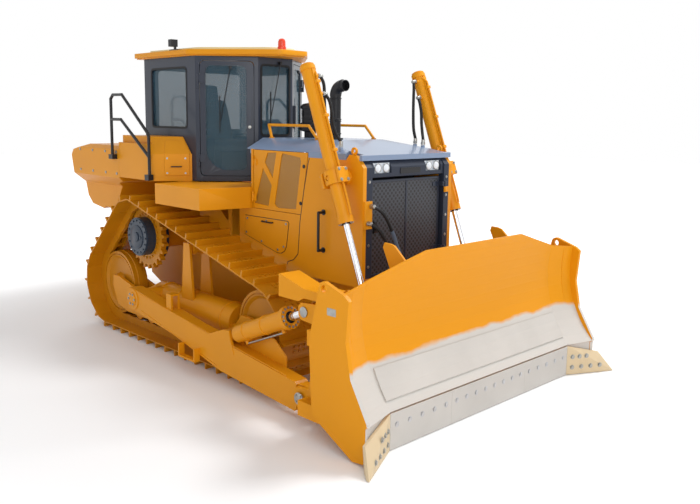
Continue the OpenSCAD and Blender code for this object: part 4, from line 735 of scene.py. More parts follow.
class OBJECT_OT_dozer_hoses(bpy.types.Operator):
    """Replaces the hose solids with smooth hoses and their end fittings"""

    bl_idname = "object.dozer_hoses"
    bl_label = "Hoses"

    def execute(self, context):
        for side, name in ((-1, "right"), (1, "left")):
            for i, route in enumerate(LIFT_HOSES):
                line = hose_line(route, side)
                cut = LIFT_SPLIT * HOSE_STEPS
                yoke, barrel = "yoke_" + name, "lift_barrel_" + name
                low = hose(f"lift_hose_{name}_{i}", line[:cut + 1], HOSE_R, "rubber")
                hose(f"lift_hose_top_{name}_{i}", line[cut:], HOSE_R, "rubber")
                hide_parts("lift_hoses_" + name)
                on(ferrule(f"hood_ferrule_{name}_{i}", line, 0, *HOSE_FERRULE), "chassis", "zinc")
                on(ferrule(f"port_ferrule_{name}_{i}", line, -1, *HOSE_FERRULE), barrel, "zinc")
        for i, route in enumerate(BLADE_HOSES):
            line = hose_line(route)
            cut = BLADE_SPLITS[i] * HOSE_STEPS
            top = hose(f"blade_hose_{i}", line[:cut + 1], HOSE_R, "rubber")
            hose(f"blade_hose_low_{i}", line[cut:], SLEEVE_R, "sleeve")
            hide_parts("blade_hoses")
            covered = line[SLEEVE_START * HOSE_STEPS:cut + 1]
            sleeve = finished(tube(f"blade_sleeve_{i}", covered, SLEEVE_R), "sleeve")
            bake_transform(sleeve)
            on(ferrule(f"guard_ferrule_{i}", line, 0, *HOSE_FERRULE), "chassis", "zinc")
            on(ferrule(f"blade_ferrule_{i}", line, -1, *SLEEVE_FERRULE), "blade", "zinc")
        return {"FINISHED"}


# Where the bolts stand across the middle edge and across the two outer ones
EDGE_BOLTS = [0.609 * (2 * i - 7) / 8 for i in range(8)]
EDGE_BOLTS += [s * (0.611 + 0.848 * (i + 0.5) / 5) for s in (-1, 1) for i in range(5)]
EDGE_FACE, EDGE_BOLT_Z = 3.050, 0.219


class OBJECT_OT_dozer_blade(bpy.types.Operator):
    """Adds the bolts of the cutting edge"""

    bl_idname = "object.dozer_blade"
    bl_label = "Blade fittings"

    def execute(self, context):
        spots = [(EDGE_FACE, y, EDGE_BOLT_Z) for y in EDGE_BOLTS]
        on(bolts("edge_bolts", spots, FORWARD, 0.021, 0.006), "blade", "steel")
        return {"FINISHED"}


DOOR_SHEETS = (
    ((0.197, 1.836), (0.452, 1.822), (0.508, 2.060), (0.350, 2.246)),
    ((0.380, 2.310), (0.434, 2.420), (0.590, 2.428), (0.524, 2.138)),
    ((0.557, 1.858), (0.580, 1.834), (0.630, 1.816), (0.925, 1.830),
     (1.006, 2.350), (0.990, 2.392), (0.700, 2.424), (0.676, 2.400)),
)
DOOR_SHEET_Y = -0.6895
SHEET_THICK = 0.003


class OBJECT_OT_dozer_perforated(bpy.types.Operator):
    """Adds the perforated sheets in the engine doors"""

    bl_idname = "object.dozer_perforated"
    bl_label = "Perforated sheets"

    def execute(self, context):
        place = facing_right(DOOR_SHEET_Y)
        sheets = [plate(f"sheet_{i}", outline, place, SHEET_THICK) for i, outline in enumerate(DOOR_SHEETS)]
        both_sides(joined("door_sheets", sheets), ENGINE_DOORS, "holes")
        return {"FINISHED"}


GRILLE_LOW, GRILLE_HIGH = 1.225, 2.18
MESH_HALF, MESH_X = 0.522, 1.8915
BAR_BACK, BAR_FRONT, BAR_HALF, BAR_SOFT = 1.889, 1.899, 0.012, 0.003
HEADLAMPS = [(1.911, y, 2.32) for y in (-0.46, -0.34, 0.34, 0.46)]
RIM_FORWARD = Vector((0.002, 0, 0))


class OBJECT_OT_dozer_nose(bpy.types.Operator):
    """Adds the mesh, bars, bare plate, lamps, bolts and latch on the nose"""

    bl_idname = "object.dozer_nose"
    bl_label = "Nose fittings"

    def execute(self, context):
        opening = rectangle(-MESH_HALF, GRILLE_LOW, MESH_HALF, GRILLE_HIGH)
        on(plate("grille_mesh", opening, facing_front(MESH_X), SHEET_THICK), "grille", "mesh")
        bars = []
        for y in (-0.53, 0.0, 0.53):
            low, high = (BAR_BACK, y - BAR_HALF, GRILLE_LOW), (BAR_FRONT, y + BAR_HALF, GRILLE_HIGH)
            bars.append(block("bar", low, high, BAR_SOFT))
        for z in (1.222, 2.184):
            low, high = (BAR_BACK, -0.54, z - BAR_HALF), (BAR_FRONT, 0.54, z + BAR_HALF)
            bars.append(block("bar", low, high, BAR_SOFT))
        on(joined("grille_frame", bars), "grille", "dark")
        outline = rounded(rectangle(-0.14, 2.255, 0.18, 2.315), 0.012)
        bare = plate("blank_plate", outline, facing_front(1.928), 0.006)
        on(soften(bare, 0.002), "chassis", "black")
        rims, lenses = [], []
        for spot in HEADLAMPS:
            rims.append(ring("rim", Vector(spot) + RIM_FORWARD, FORWARD, 0.0445, 0.004))
            no_selection()
            bpy.ops.mesh.primitive_uv_sphere_add(segments=24, ring_count=12, radius=0.042, location=spot)
            lens = bpy.context.object
            lens.scale = (0.3, 1, 1)
            lenses.append(smooth_by_angle(settle(lens), ROUND_ANGLE))
        on(joined("lamp_rims", rims), "chassis", "zinc")
        on(joined("lamp_lenses", lenses), "chassis", "lamp")
        spots = [(1.940, y, z) for y in (-0.61, 0.61) for z in (1.33, 1.55, 1.77, 1.99, 2.19)]
        on(bolts("frame_bolts", spots, FORWARD, 0.012, 0.008), "chassis", "zinc")
        latch = [
            block("latch", (BAR_BACK, -0.500, 1.66), (1.912, -0.455, 1.78), 0.006),
            rod("catch", (1.905, -0.478, 1.70), (1.925, -0.478, 1.70), 0.012),
        ]
        on(joined("grille_latch", latch), "grille", "black")
        return {"FINISHED"}


SEAM = (
    (1.141, 2.395), (1.121, 2.34), (1.053, 2.034), (0.993, 1.697), (0.963, 1.342), (0.889, 1.268),
    (0.791, 1.232), (0.785, 1.202),
)
# Outline of the side cover plate, round which a black strip of painted shadow runs
COVER = (
    (0.011, 1.458), (0.030, 1.676), (0.790, 1.680), (0.806, 1.660), (0.765, 1.400), (0.735, 1.345),
    (0.680, 1.315), (0.610, 1.312),
)
COVER_BOLTS = (
    (0.045, 1.48), (0.065, 1.645), (0.42, 1.648), (0.765, 1.650), (0.725, 1.39), (0.62, 1.345), (0.33, 1.405),
)
COVER_PULL = ((0.352, -0.700, 1.640), (0.352, -0.732, 1.640), (0.536, -0.732, 1.640), (0.536, -0.700, 1.640))
EXHAUST_X, EXHAUST_Y = 0.900, -0.100
EXHAUST_RADIUS = 0.063
CLEANER_X, CLEANER_Y = 0.230, 0.120


class OBJECT_OT_dozer_hood(bpy.types.Operator):
    """Adds the seams, cover bolts, pull, latches and pipe clamps round the engine"""

    bl_idname = "object.dozer_hood"
    bl_label = "Hood fittings"

    def execute(self, context):
        both_sides(ribbon("seam", SEAM, 0.009, facing_right(-0.7005), 0.002), CHASSIS, "black")
        # A black strip round the cover plate, a painted shadow in the gap round the proud plate
        gap_shadow = ribbon("cover_gap_shadow", COVER, 0.014, facing_right(-0.7008), 0.002, closed=True)
        both_sides(gap_shadow, CHASSIS, "black")
        heads = bolts("cover_bolts", [(x, -0.706, z) for x, z in COVER_BOLTS], RIGHTWARD, 0.011, 0.008)
        both_sides(heads, CHASSIS, "zinc")
        both_sides(tube("cover_pull", round_corners(COVER_PULL, 0.018), 0.008), CHASSIS, "black")
        latches = []
        for x, z in ((1.005, 1.90), (1.055, 2.30)):
            latches.append(rod("latch", (x, -0.699, z), (x, -0.707, z), 0.020, soft=0.002))
            latches.append(block("key", (x - 0.013, -0.709, z - 0.004), (x + 0.013, -0.706, z + 0.004)))
        both_sides(joined("door_latches", latches), ENGINE_DOORS, "black")
        heights = (2.64, 2.78, 2.80, 3.03)
        clamps = [ring("clamp", (EXHAUST_X, EXHAUST_Y, z), UPWARD, EXHAUST_RADIUS, 0.007) for z in heights]
        clamps.append(ring("clamp", (1.010, EXHAUST_Y, 3.17), FORWARD, EXHAUST_RADIUS, 0.006))
        on(joined("stack_clamps", clamps), "chassis", "stack")
        bands = [ring("band", (CLEANER_X, CLEANER_Y, z), UPWARD, 0.101, 0.005) for z in (2.80, 2.86)]
        for turn in turns(3, math.radians(20)):
            x, y = CLEANER_X + 0.106 * math.cos(turn), CLEANER_Y + 0.106 * math.sin(turn)
            bands.append(block("clip", (x - 0.008, y - 0.008, 2.83), (x + 0.008, y + 0.008, 2.90), 0.002))
        on(joined("cleaner_bands", bands), "chassis", "stack")
        return {"FINISHED"}


TRACK_Y = 1.1
SHOE_FACE = 0.070
NOMINAL_PITCH = 0.216
# x, z and pin-line radius of the rear idler, the front idler and the sprocket
WHEELS = ((-2.130, 0.595, 0.460), (0.970, 0.595, 0.460), (-1.500, 1.290, 0.410))
RECOIL_BANDS = (-1.02, -0.62, 0.30)


class OBJECT_OT_dozer_running_gear(bpy.types.Operator):
    """Adds bolts, caps and bands on the sprockets, drives, idlers and recoil tubes"""

    bl_idname = "object.dozer_running_gear"
    bl_label = "Running gear fittings"

    def execute(self, context):
        x, z = WHEELS[2][:2]
        spots = circle_spots((x, -1.134, z), 0.284, 24)
        both_sides(bolts("sprocket_bolts", spots, RIGHTWARD, 0.017, 0.016), CHASSIS, "track")
        spots = circle_spots((x, -1.266, z), 0.205, 16)
        both_sides(bolts("drive_bolts", spots, RIGHTWARD, 0.012, 0.010), CHASSIS, "drum")
        caps = [
            rod("cap", (x, -1.262, z), (x, -1.276, z), 0.150, 48, 0.004),
            rod("cap", (x, -1.270, z), (x, -1.290, z), 0.062, 32, 0.003),
            rod("plug", (x + 0.105, -1.27, z), (x + 0.105, -1.288, z), 0.018, 6),
        ]
        both_sides(joined("drive_caps", caps), CHASSIS, "drum")
        hubs, heads = [], []
        for x, z, _ in WHEELS[:2]:
            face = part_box("idlers")[0].y
            hubs.append(rod("hub", (x, face + 0.004, z), (x, face - 0.010, z), 0.085, 40, 0.004))
            heads += circle_spots((x, face - 0.009, z), 0.062, 6)
        both_sides(joined("idler_hubs", hubs), CHASSIS, "track")
        both_sides(bolts("idler_bolts", heads, RIGHTWARD, 0.010, 0.008), CHASSIS, "track")
        bands = [ring("flange", (x, -TRACK_Y, 0.560), FORWARD, 0.186, 0.012) for x in RECOIL_BANDS]
        both_sides(joined("recoil_bands", bands), CHASSIS, "paint")
        return {"FINISHED"}


TRUNNION = (-1.040, 0.620)
BLADE_PIN = (2.090, 0.250)
ARM_SEAMS = (((-0.90, 0.71), (0.30, 0.568)), ((0.30, 0.568), (1.85, 0.395)), ((-0.85, 0.51), (0.70, 0.212)))
SEAM_Y = -1.6005
TREADS, TREAD_STEP = 7, 0.05


class OBJECT_OT_dozer_arms(bpy.types.Operator):
    """Adds caps, bolts, tread and weld seams on the push arms"""

    bl_idname = "object.dozer_arms"
    bl_label = "Arm fittings"

    def execute(self, context):
        x, z = TRUNNION
        cap = rod("trunnion_caps", (x, -1.612, z), (x, -1.620, z), 0.085, 48, 0.003)
        both_sides(cap, TRUNNIONS, "paint")
        spots = circle_spots((x, -1.620, z), 0.066, 6)
        both_sides(bolts("trunnion_bolts", spots, RIGHTWARD, 0.012, 0.009), TRUNNIONS, "zinc")
        x, z = BLADE_PIN
        cap = rod("blade_pin_caps", (x, -1.655, z), (x, -1.666, z), 0.060, 40, 0.003)
        both_sides(cap, BLADE, "zinc")
        spots = circle_spots((x, -1.665, z), 0.042, 4, 0.8)
        both_sides(bolts("blade_pin_bolts", spots, RIGHTWARD, 0.010, 0.008), BLADE, "zinc")
        treads = []
        for k in range(TREADS):
            low, high = (0.068 + TREAD_STEP * k, -1.665, 0.199), (0.078 + TREAD_STEP * k, -1.605, 0.205)
            treads.append(block("tread", low, high, 0.002))
        both_sides(joined("step_tread", treads), ARMS, "paint")
        seams = [rod("seam", (a[0], SEAM_Y, a[1]), (b[0], SEAM_Y, b[1]), 0.005, 10) for a, b in ARM_SEAMS]
        both_sides(joined("arm_welds", seams), ARMS, "paint")
        return {"FINISHED"}


LIFT_PIVOT = Vector((1.700, -0.860, 2.230))
LIFT_EYE = Vector((2.200, -0.860, 0.930))
TILT_REAR = Vector((0.880, -1.525, 0.560))
TILT_FRONT = Vector((2.110, -1.525, 1.070))
YOKE_CAP_INNER, YOKE_CAP_OUTER = 0.104, 0.136
# A side pipe's line on the lift barrel, from the gland to the head
LIFT_PIPE = (
    (0.094, 0, -0.400), (0.100, 0, -0.300), (0.100, 0, 0.060), (0.100, 0, 1.060), (0.060, 0.03, 1.110),
)
TILT_PORTS = (0.24, 0.86)
TILT_PIPE = ((0.122, 0.0, 0.24), (0.122, 0.0, 0.30), (0.122, 0.0, 0.80), (0.122, 0.0, 0.86))


class OBJECT_OT_dozer_cylinders(bpy.types.Operator):
    """Adds caps, bolts, wipers, bands and pipes on the cylinders"""

    bl_idname = "object.dozer_cylinders"
    bl_label = "Cylinder fittings"

    def execute(self, context):
        lift = frame_along(LIFT_PIVOT, LIFT_PIVOT * 2 - LIFT_EYE)
        caps, heads = [], []
        for s in (-1, 1):
            low, high = sorted((s * YOKE_CAP_INNER, s * YOKE_CAP_OUTER))
            caps.append(block("cap", (low, -0.068, -0.078), (high, 0.068, 0.078), 0.006))
        both_sides(placed(joined("yoke_caps", caps), lift), YOKES, "paint")
        for s in (-1, 1):
            spots = [(s * YOKE_CAP_OUTER, y, z) for y in (-0.046, 0.046) for z in (-0.054, 0.054)]
            heads.append(bolts("head", spots, (s, 0, 0), 0.013, 0.010))
        both_sides(placed(joined("yoke_bolts", heads), lift), YOKES, "zinc")
        spots = [(0.068 * math.cos(a), 0.068 * math.sin(a), -0.470) for a in turns(8)]
        glands = bolts("lift_gland_bolts", spots, (0, 0, -1), 0.009, 0.010)
        both_sides(placed(glands, lift), LIFT_BARRELS, "zinc")
        wiper = ring("lift_wiper", (0, 0, -0.472), UPWARD, 0.048, 0.007)
        both_sides(placed(wiper, lift), LIFT_BARRELS, "rubber")
        pipe = [tube("pipe", round_corners(LIFT_PIPE, 0.03), 0.011)]
        for z in (0.26, 0.62, 0.98):
            pipe.append(block("clip", (0.078, -0.026, z - 0.016), (0.114, 0.026, z + 0.016), 0.004))
        both_sides(placed(joined("lift_pipe", pipe), lift), LIFT_BARRELS, "paint")
        end = [
            rod("end", (0, 0, 1.188), (0, 0, 1.200), 0.060, 32, 0.004),
            rod("plug", (0, 0, 1.198), (0, 0, 1.212), 0.016, 6),
        ]
        both_sides(placed(joined("lift_ends", end), lift), LIFT_BARRELS, "paint")
        tilt = frame_along(TILT_REAR, TILT_FRONT)
        spots = [(0.093 * math.cos(a), 0.093 * math.sin(a), 1.010) for a in turns(14)]
        on(placed(bolts("tilt_gland_bolts", spots, UPWARD, 0.010, 0.011), tilt), "tilt_barrel", "zinc")
        on(placed(ring("tilt_wiper", (0, 0, 1.012), UPWARD, 0.050, 0.008), tilt), "tilt_barrel", "rubber")
        bands = [ring("band", (0, 0, z), UPWARD, 0.0935, 0.007) for z in (0.30, 0.62)]
        bands += [rod("port", (0.088, 0.0, z), (0.130, 0.0, z), 0.022, 20, 0.003) for z in TILT_PORTS]
        on(placed(joined("tilt_bands", bands), tilt), "tilt_barrel", "paint")
        on(placed(tube("tilt_pipe", TILT_PIPE, 0.012), tilt), "tilt_barrel", "zinc")
        x, z = TILT_FRONT.x, TILT_FRONT.z
        on(rod("tilt_pin_cap", (x, -1.618, z), (x, -1.630, z), 0.050, 32, 0.003), "blade", "zinc")
        return {"FINISHED"}


DOOR_ALONG = Vector((0.6375, 0.7704, 0))
SIDE_WINDOW = ((-1.765, 2.670), (-0.950, 2.670), (-0.950, 3.400), (-1.765, 3.400))
FRONT_WINDOW = ((-0.225, 2.590), (0.225, 2.590), (0.225, 3.440), (-0.225, 3.440))
SEAL_WIDTH, SEAL_THICK = 0.026, 0.004


class OBJECT_OT_dozer_cab(bpy.types.Operator):
    """Adds window seals, wipers and the doors' locks to the cab"""

    bl_idname = "object.dozer_cab"
    bl_label = "Cab fittings"

    def execute(self, context):
        outline = rounded(SIDE_WINDOW, 0.055)
        seal = ribbon("side_seal", outline, SEAL_WIDTH, facing_right(-0.851), SEAL_THICK, closed=True)
        both_sides(seal, CHASSIS, "rubber")
        outline = rounded(FRONT_WINDOW, 0.05)
        seal = ribbon("front_seal", outline, SEAL_WIDTH, facing_front(-0.279), SEAL_THICK, closed=True)
        on(seal, "chassis", "rubber")
        wall = upright((-0.760, -0.850, 0), DOOR_ALONG, 0.022)
        wiper = [
            rod("arm", (0.420, 3.395, 0), (0.300, 2.760, 0.004), 0.006, 10),
            block("blade", (0.285, 2.620, -0.008), (0.297, 3.060, 0.006), 0.002),
            rod("boss", (0.420, 3.395, -0.020), (0.420, 3.395, 0.010), 0.020, 16, 0.003),
        ]
        both_sides(placed(joined("door_wiper", wiper), wall), CAB_DOORS, "black")
        wiper = [
            rod("arm", (-0.255, 0.06, 3.470), (-0.250, -0.09, 2.830), 0.006, 10),
            block("blade", (-0.266, -0.100, 2.660), (-0.254, -0.086, 3.120), 0.002),
            rod("boss", (-0.285, 0.06, 3.470), (-0.245, 0.06, 3.470), 0.020, 16, 0.003),
        ]
        on(joined("front_wiper", wiper), "chassis", "black")
        lock = rod("lock", (0.650, 2.690, -0.020), (0.650, 2.690, 0.006), 0.020, 20, 0.003)
        both_sides(placed(lock, wall), CAB_DOORS, "zinc")
        return {"FINISHED"}


CUSHIONS = (
    ("seat_cushion", (0.605, 0.605, 0.155), (-1.350, 0.0, 2.430), 0.0),
    ("seat_back", (0.140, 0.560, 0.665), (-1.673, 0.0, 2.708), -17.0),
    ("head_rest", (0.120, 0.300, 0.240), (-1.765, 0.0, 3.105), -8.7),
)
CROWN = 0.10


class OBJECT_OT_dozer_seat(bpy.types.Operator):
    """Adds crowned cushions with pulled-in corners to the seat"""

    bl_idname = "object.dozer_seat"
    bl_label = "Seat cushions"

    def execute(self, context):
        for name, size, centre, lean in CUSHIONS:
            no_selection()
            bpy.ops.mesh.primitive_cube_add(size=1)
            pad = bpy.context.object
            pad.name = name
            pad.scale = size
            bpy.ops.object.transform_apply(location=False, rotation=False, scale=True)
            bpy.ops.object.mode_set(mode="EDIT")
            bpy.ops.mesh.select_all(action="SELECT")
            bpy.ops.mesh.subdivide(number_cuts=4)
            bpy.ops.object.mode_set(mode="OBJECT")
            crown = pad.modifiers.new("crown", "CAST")
            crown.factor = CROWN
            bpy.ops.object.modifier_apply(modifier="crown")
            round_off = pad.modifiers.new("round", "SUBSURF")
            round_off.levels = 2
            bpy.ops.object.modifier_apply(modifier="round")
            place = Matrix.Translation(centre) @ Matrix.Rotation(math.radians(lean), 4, "Y")
            smooth_by_angle(placed(pad, place), ROUND_ANGLE)
            on(pad, "chassis", "seat")
        return {"FINISHED"}


ROOF_PLAN = (
    (-2.070, -0.930), (-0.800, -0.930), (-0.200, -0.450), (0.080, -0.200), (0.080, 0.200), (-0.200, 0.450),
    (-0.800, 0.930), (-2.070, 0.930),
)
ROOF_LIP = 0.045
ROOF_STEP = 0.190
ROOF_MIDDLE = Vector((-1.05, 0.0))


def shrunk(outline, by):
    """A convex outline moved inward on every side."""
    moved = []
    for point in outline:
        away = Vector(point) - ROOF_MIDDLE
        moved.append(tuple(ROOF_MIDDLE + away * (1 - by / away.length)))
    return moved


class OBJECT_OT_dozer_roof(bpy.types.Operator):
    """Models the roof's rim, lip and raised middle with softened edges"""

    bl_idname = "object.dozer_roof"
    bl_label = "Roof"

    def execute(self, context):
        # Outline, foot, top and soft edge of the lip, the rim and the raised middle
        layers = [
            (shrunk(ROOF_PLAN, ROOF_LIP), 3.531, 3.552, 0.003),
            (rounded(ROOF_PLAN, 0.05), 3.546, 3.605, 0.012),
            (rounded(shrunk(ROOF_PLAN, ROOF_STEP), 0.10), 3.600, 3.642, 0.016),
        ]
        slabs = []
        for outline, low, high, edge in layers:
            sheet = plate("roof", outline, Matrix.Translation((0, 0, (low + high) / 2)), high - low)
            slabs.append(soften(sheet, edge))
        roof = on(joined("roof", slabs), "chassis", "roof")
        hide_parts("cab_roof")
        return {"FINISHED"}


LID_ALONG = Vector((0.6117, 0.7911, 0))
LID_HANDLE = ((0.240, 2.200, 0), (0.240, 2.200, 0.030), (0.360, 2.200, 0.030), (0.360, 2.200, 0))
END_BIT_START = Vector((3.050, -1.463, 0))
END_BIT_ALONG = Vector((0.459, -0.888, 0))
END_BIT_FACE = Vector((0.888, 0.459, 0))
# Height of each row of bolts on an end bit and the bolts' reach from its inner end
END_BIT_ROWS = ((0.205, (0.07, 0.16, 0.25)), (0.085, (0.07, 0.19, 0.31, 0.43)))


class OBJECT_OT_dozer_deck(bpy.types.Operator):
    """Adds the lid's handle and bolts, the tank's cap and bolts, and the blade's label and bolts"""

    bl_idname = "object.dozer_deck"
    bl_label = "Deck and blade fittings"

    def execute(self, context):
        wall = upright((-1.150, -1.240, 0), LID_ALONG, 0.013)
        both_sides(placed(tube("lid_handle", round_corners(LID_HANDLE, 0.014), 0.007), wall), LIDS, "black")
        spots = [(along, z, 0.0) for along in (0.190, 0.410) for z in (2.12, 2.30)]
        both_sides(placed(bolts("lid_bolts", spots, UPWARD, 0.009, 0.007), wall), LIDS, "zinc")
        cap = [
            rod("cap", (-2.45, -0.60, 2.418), (-2.45, -0.60, 2.455), 0.085, 40, 0.006),
            block("grip", (-2.52, -0.612, 2.453), (-2.38, -0.588, 2.475), 0.004),
        ]
        on(joined("tank_cap", cap), "chassis", "black")
        spots = [(x, -1.241, z) for x in (-3.05, -2.68, -2.32, -2.02) for z in (2.06, 2.34)]
        both_sides(bolts("tank_bolts", spots, RIGHTWARD, 0.014, 0.010), CHASSIS, "zinc")
        outline = rounded(rectangle(2.676, 1.196, 2.782, 1.260), 0.008)
        both_sides(plate("blank_label", outline, facing_right(-1.861), SHEET_THICK), BLADE, "zinc")
        start = END_BIT_START + END_BIT_FACE * 0.001
        spots = []
        for height, reaches in END_BIT_ROWS:
            spots += [start + END_BIT_ALONG * reach + Vector((0, 0, height)) for reach in reaches]
        both_sides(bolts("end_bit_bolts", spots, END_BIT_FACE, 0.020, 0.012), BLADE, "zinc")
        return {"FINISHED"}


def span(i):
    """Heading and length of the straight run that leaves wheel i."""
    (ax, az, ar), (bx, bz, br) = WHEELS[i % 3], WHEELS[(i + 1) % 3]
    reach = math.hypot(bx - ax, bz - az)
    heading = math.atan2(bz - az, bx - ax) + math.asin((ar - br) / reach)
    return heading, math.sqrt(reach * reach - (ar - br) ** 2)


def runs():
    """The loop as straight runs and arcs in turn, each with its length."""
    found = []
    for i in range(3):
        heading, length = span(i)
        found.append(("run", i, heading, length))
        turned = (span(i + 1)[0] - heading) % (2 * math.pi)
        found.append(("arc", (i + 1) % 3, heading, WHEELS[(i + 1) % 3][2] * turned))
    return found


LOOP = runs()
LOOP_LENGTH = sum(run[3] for run in LOOP)
SHOES = round(LOOP_LENGTH / NOMINAL_PITCH)
PITCH = LOOP_LENGTH / SHOES


def pin_line(distance):
    """x, z and heading on the chain's pin line."""
    for kind, i, heading, length in LOOP:
        if distance <= length:
            break
        distance -= length
    x, z, r = WHEELS[i]
    if kind == "arc":
        heading += distance / r
        return x + r * math.sin(heading), z - r * math.cos(heading), heading
    px, pz = x + r * math.sin(heading), z - r * math.cos(heading)
    return px + distance * math.cos(heading), pz + distance * math.sin(heading), heading


# Where a shoe's bolts stand, along and across the track
BOLTS_ALONG = (-0.055, -0.005)
BOLTS_ACROSS = (-0.105, -0.035, 0.035, 0.105)
SHOE_BOLT = 0.014


class OBJECT_OT_dozer_tracks(bpy.types.Operator):
    """Adds the bolts on the track shoes"""

    bl_idname = "object.dozer_tracks"
    bl_label = "Track bolts"

    def execute(self, context):
        places = []
        for shoe in range(SHOES):
            x, z, heading = pin_line((shoe + 0.5) * PITCH)
            for along in BOLTS_ALONG:
                for across in BOLTS_ACROSS:
                    place = Matrix.Translation((x, -TRACK_Y + across, z)) @ Matrix.Rotation(-heading, 4, "Y")
                    place @= Matrix.Translation((along, 0, -SHOE_FACE)) @ Matrix.Rotation(math.pi, 4, "X")
                    places.append(place)
        no_selection()
        bpy.ops.mesh.primitive_cylinder_add(
            vertices=6, radius=SHOE_BOLT, depth=SHOE_BOLT, location=(0, 0, SHOE_BOLT / 2)
        )
        piece = copies("shoe_bolts", settle(bpy.context.object), places)
        both_sides(piece, CHASSIS, "track")
        return {"FINISHED"}


FLOOR_SIZE, FLOOR_Z = 90, -0.002
# Distances between which the floor's own glow grows, and its strength there
GLOW_NEAR, GLOW_FAR = 3.6, 9.0
GLOW_LEAST, GLOW_MOST = 0.02, 0.62
WHITE = (1, 1, 1, 1)
SKY = (0.97, 0.98, 1.0, 1)
SKY_STRENGTH = 0.60
# Each lamp's name, place, aim, watts and width
LAMPS = (
    ("key", (3.5, 4.5, 10.5), (0.5, 0, 0.5), 780, 3.5),
    ("front", (11.0, -6.5, 5.5), (0.5, 0, 1.2), 380, 7.0),
    ("back", (-8.0, 3.0, 8.0), (0, 0, 1.5), 120, 6.0),
)
PHOTO_WIDTH = 700
FOCAL_PIXELS = 768.9
SENSOR = 36.0
CAMERA_PLACE = (7.2253, -6.1177, 2.8346)
CAMERA_HEADING, CAMERA_DIP, CAMERA_ROLL = 45.69, 8.496, 0.722


def brighter_far_off(tree, shader):
    """Lets the floor glow white far from the machine, where the lamps don't reach."""
    coords = tree.nodes.new("ShaderNodeTexCoord")
    far = tree.nodes.new("ShaderNodeVectorMath")
    far.operation = "LENGTH"
    tree.links.new(coords.outputs["Object"], far.inputs[0])
    glow = map_range(tree, far.outputs["Value"], GLOW_NEAR, GLOW_FAR, GLOW_LEAST, GLOW_MOST)
    glow.interpolation_type = "SMOOTHSTEP"
    tree.links.new(glow.outputs["Result"], shader.inputs["Emission Strength"])
    shader.inputs["Emission Color"].default_value = WHITE


def add_lamp(name, place, aim_at, energy, width):
    """A square studio lamp that points at a spot."""
    light = bpy.data.lights.new(name, "AREA")
    light.energy = energy
    light.size = width
    lamp = bpy.data.objects.new(name, light)
    bpy.context.collection.objects.link(lamp)
    lamp.location = place
    lamp.rotation_euler = (Vector(aim_at) - Vector(place)).to_track_quat("-Z", "Y").to_euler()


def backdrop(background, colour, strength):
    """Gives a background node its colour and strength, and hands on what it shines."""
    background.inputs["Color"].default_value = colour
    background.inputs["Strength"].default_value = strength
    return background.outputs[0]


def set_world():
    """A soft studio world that shows white behind the machine and in glass and metal."""
    world = bpy.data.worlds.new("Studio")
    bpy.context.scene.world = world
    world.use_nodes = True
    tree = world.node_tree
    path = tree.nodes.new("ShaderNodeLightPath").outputs
    seen = math_node(tree, "MAXIMUM", path["Is Camera Ray"], path["Is Glossy Ray"])
    seen = math_node(tree, "MAXIMUM", seen, path["Is Transmission Ray"])
    mix = tree.nodes.new("ShaderNodeMixShader")
    sky = backdrop(tree.nodes["Background"], SKY, SKY_STRENGTH)
    white = backdrop(tree.nodes.new("ShaderNodeBackground"), WHITE, 1.0)
    for socket, part in zip(mix.inputs, (seen, sky, white)):
        tree.links.new(part, socket)
    tree.links.new(mix.outputs[0], tree.nodes["World Output"].inputs["Surface"])


def add_camera():
    """The photograph's viewpoint, for a frame of 700 by 504."""
    data = bpy.data.cameras.new("photo view")
    data.sensor_width = SENSOR
    data.lens = FOCAL_PIXELS / PHOTO_WIDTH * SENSOR
    data.shift_x = 0.0087
    data.shift_y = -0.0298
    data.clip_end = 200
    camera = bpy.data.objects.new("photo view", data)
    bpy.context.collection.objects.link(camera)
    turn = Matrix.Rotation(math.radians(CAMERA_HEADING), 4, "Z")
    turn @= Matrix.Rotation(math.radians(90 - CAMERA_DIP), 4, "X")
    turn @= Matrix.Rotation(math.radians(CAMERA_ROLL), 4, "Z")
    camera.matrix_world = Matrix.Translation(CAMERA_PLACE) @ turn
    bpy.context.scene.camera = camera


class OBJECT_OT_dozer_stage(bpy.types.Operator):
    """Sets the floor, the lamps, the world and the camera"""

    bl_idname = "object.dozer_stage"
    bl_label = "Stage"

    def execute(self, context):
        no_selection()
        bpy.ops.mesh.primitive_plane_add(size=FLOOR_SIZE, location=(0, 0, FLOOR_Z))
        floor = bpy.context.object
        floor.name = "floor"
        material, tree, shader = base_material("Pale floor", 0.7)
        two_tone(tree, shader, place_noise(tree, 0.2), (0.93, 0.93, 0.93), (0.95, 0.95, 0.95))
        brighter_far_off(tree, shader)
        floor.data.materials.append(material)
        set_world()
        for name, place, aim_at, energy, width in LAMPS:
            add_lamp(name, place, aim_at, energy, width)
        add_camera()
        context.scene.view_settings.view_transform = "Standard"
        return {"FINISHED"}


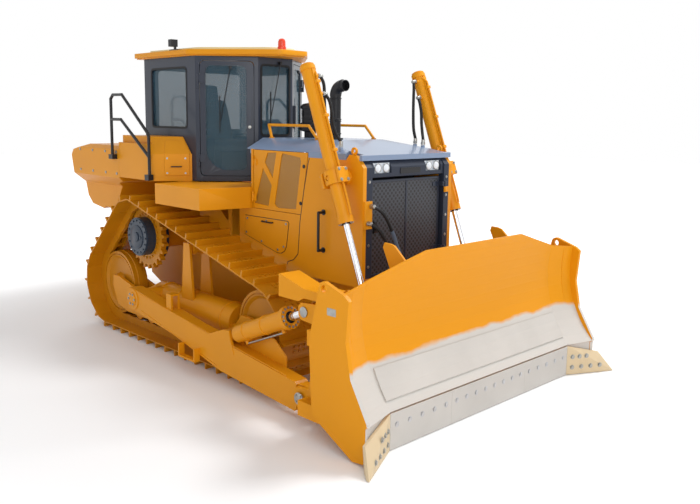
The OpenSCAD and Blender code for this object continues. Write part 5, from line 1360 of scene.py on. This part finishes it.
class VIEW3D_PT_dozer(bpy.types.Panel):
    """Lists the steps that dress the bulldozer"""

    bl_label = "Bulldozer"
    bl_idname = "VIEW3D_PT_dozer"
    bl_space_type = "VIEW_3D"
    bl_region_type = "UI"
    bl_category = "Bulldozer"

    def draw(self, context):
        for name in ("paint", "dark", "hood", "wear", "end_bit"):
            self.layout.prop(context.scene.dozer_colours, name)
        self.layout.prop(context.scene.dozer_sizes, "edge")
        for step in STEPS:
            self.layout.operator(step.bl_idname)


STEPS = (
    OBJECT_OT_dozer_finishes,
    OBJECT_OT_dozer_stage,
    OBJECT_OT_dozer_hoses,
    OBJECT_OT_dozer_blade,
    OBJECT_OT_dozer_perforated,
    OBJECT_OT_dozer_tracks,
    OBJECT_OT_dozer_nose,
    OBJECT_OT_dozer_hood,
    OBJECT_OT_dozer_running_gear,
    OBJECT_OT_dozer_arms,
    OBJECT_OT_dozer_cylinders,
    OBJECT_OT_dozer_cab,
    OBJECT_OT_dozer_deck,
    OBJECT_OT_dozer_roof,
    OBJECT_OT_dozer_seat,
)
CLASSES = (BulldozerColours, BulldozerSizes, *STEPS, VIEW3D_PT_dozer)


def register():
    for item in CLASSES:
        bpy.utils.register_class(item)
    bpy.types.Scene.dozer_colours = PointerProperty(type=BulldozerColours)
    bpy.types.Scene.dozer_sizes = PointerProperty(type=BulldozerSizes)


def unregister():
    del bpy.types.Scene.dozer_sizes
    del bpy.types.Scene.dozer_colours
    for item in reversed(CLASSES):
        bpy.utils.unregister_class(item)


def main():
    register()
    bpy.ops.object.dozer_finishes()
    bpy.ops.object.dozer_stage()
    bpy.ops.object.dozer_hoses()
    bpy.ops.object.dozer_blade()
    bpy.ops.object.dozer_perforated()
    bpy.ops.object.dozer_tracks()
    bpy.ops.object.dozer_nose()
    bpy.ops.object.dozer_hood()
    bpy.ops.object.dozer_running_gear()
    bpy.ops.object.dozer_arms()
    bpy.ops.object.dozer_cylinders()
    bpy.ops.object.dozer_cab()
    bpy.ops.object.dozer_deck()
    bpy.ops.object.dozer_roof()
    bpy.ops.object.dozer_seat()


if __name__ == "__main__":
    main()
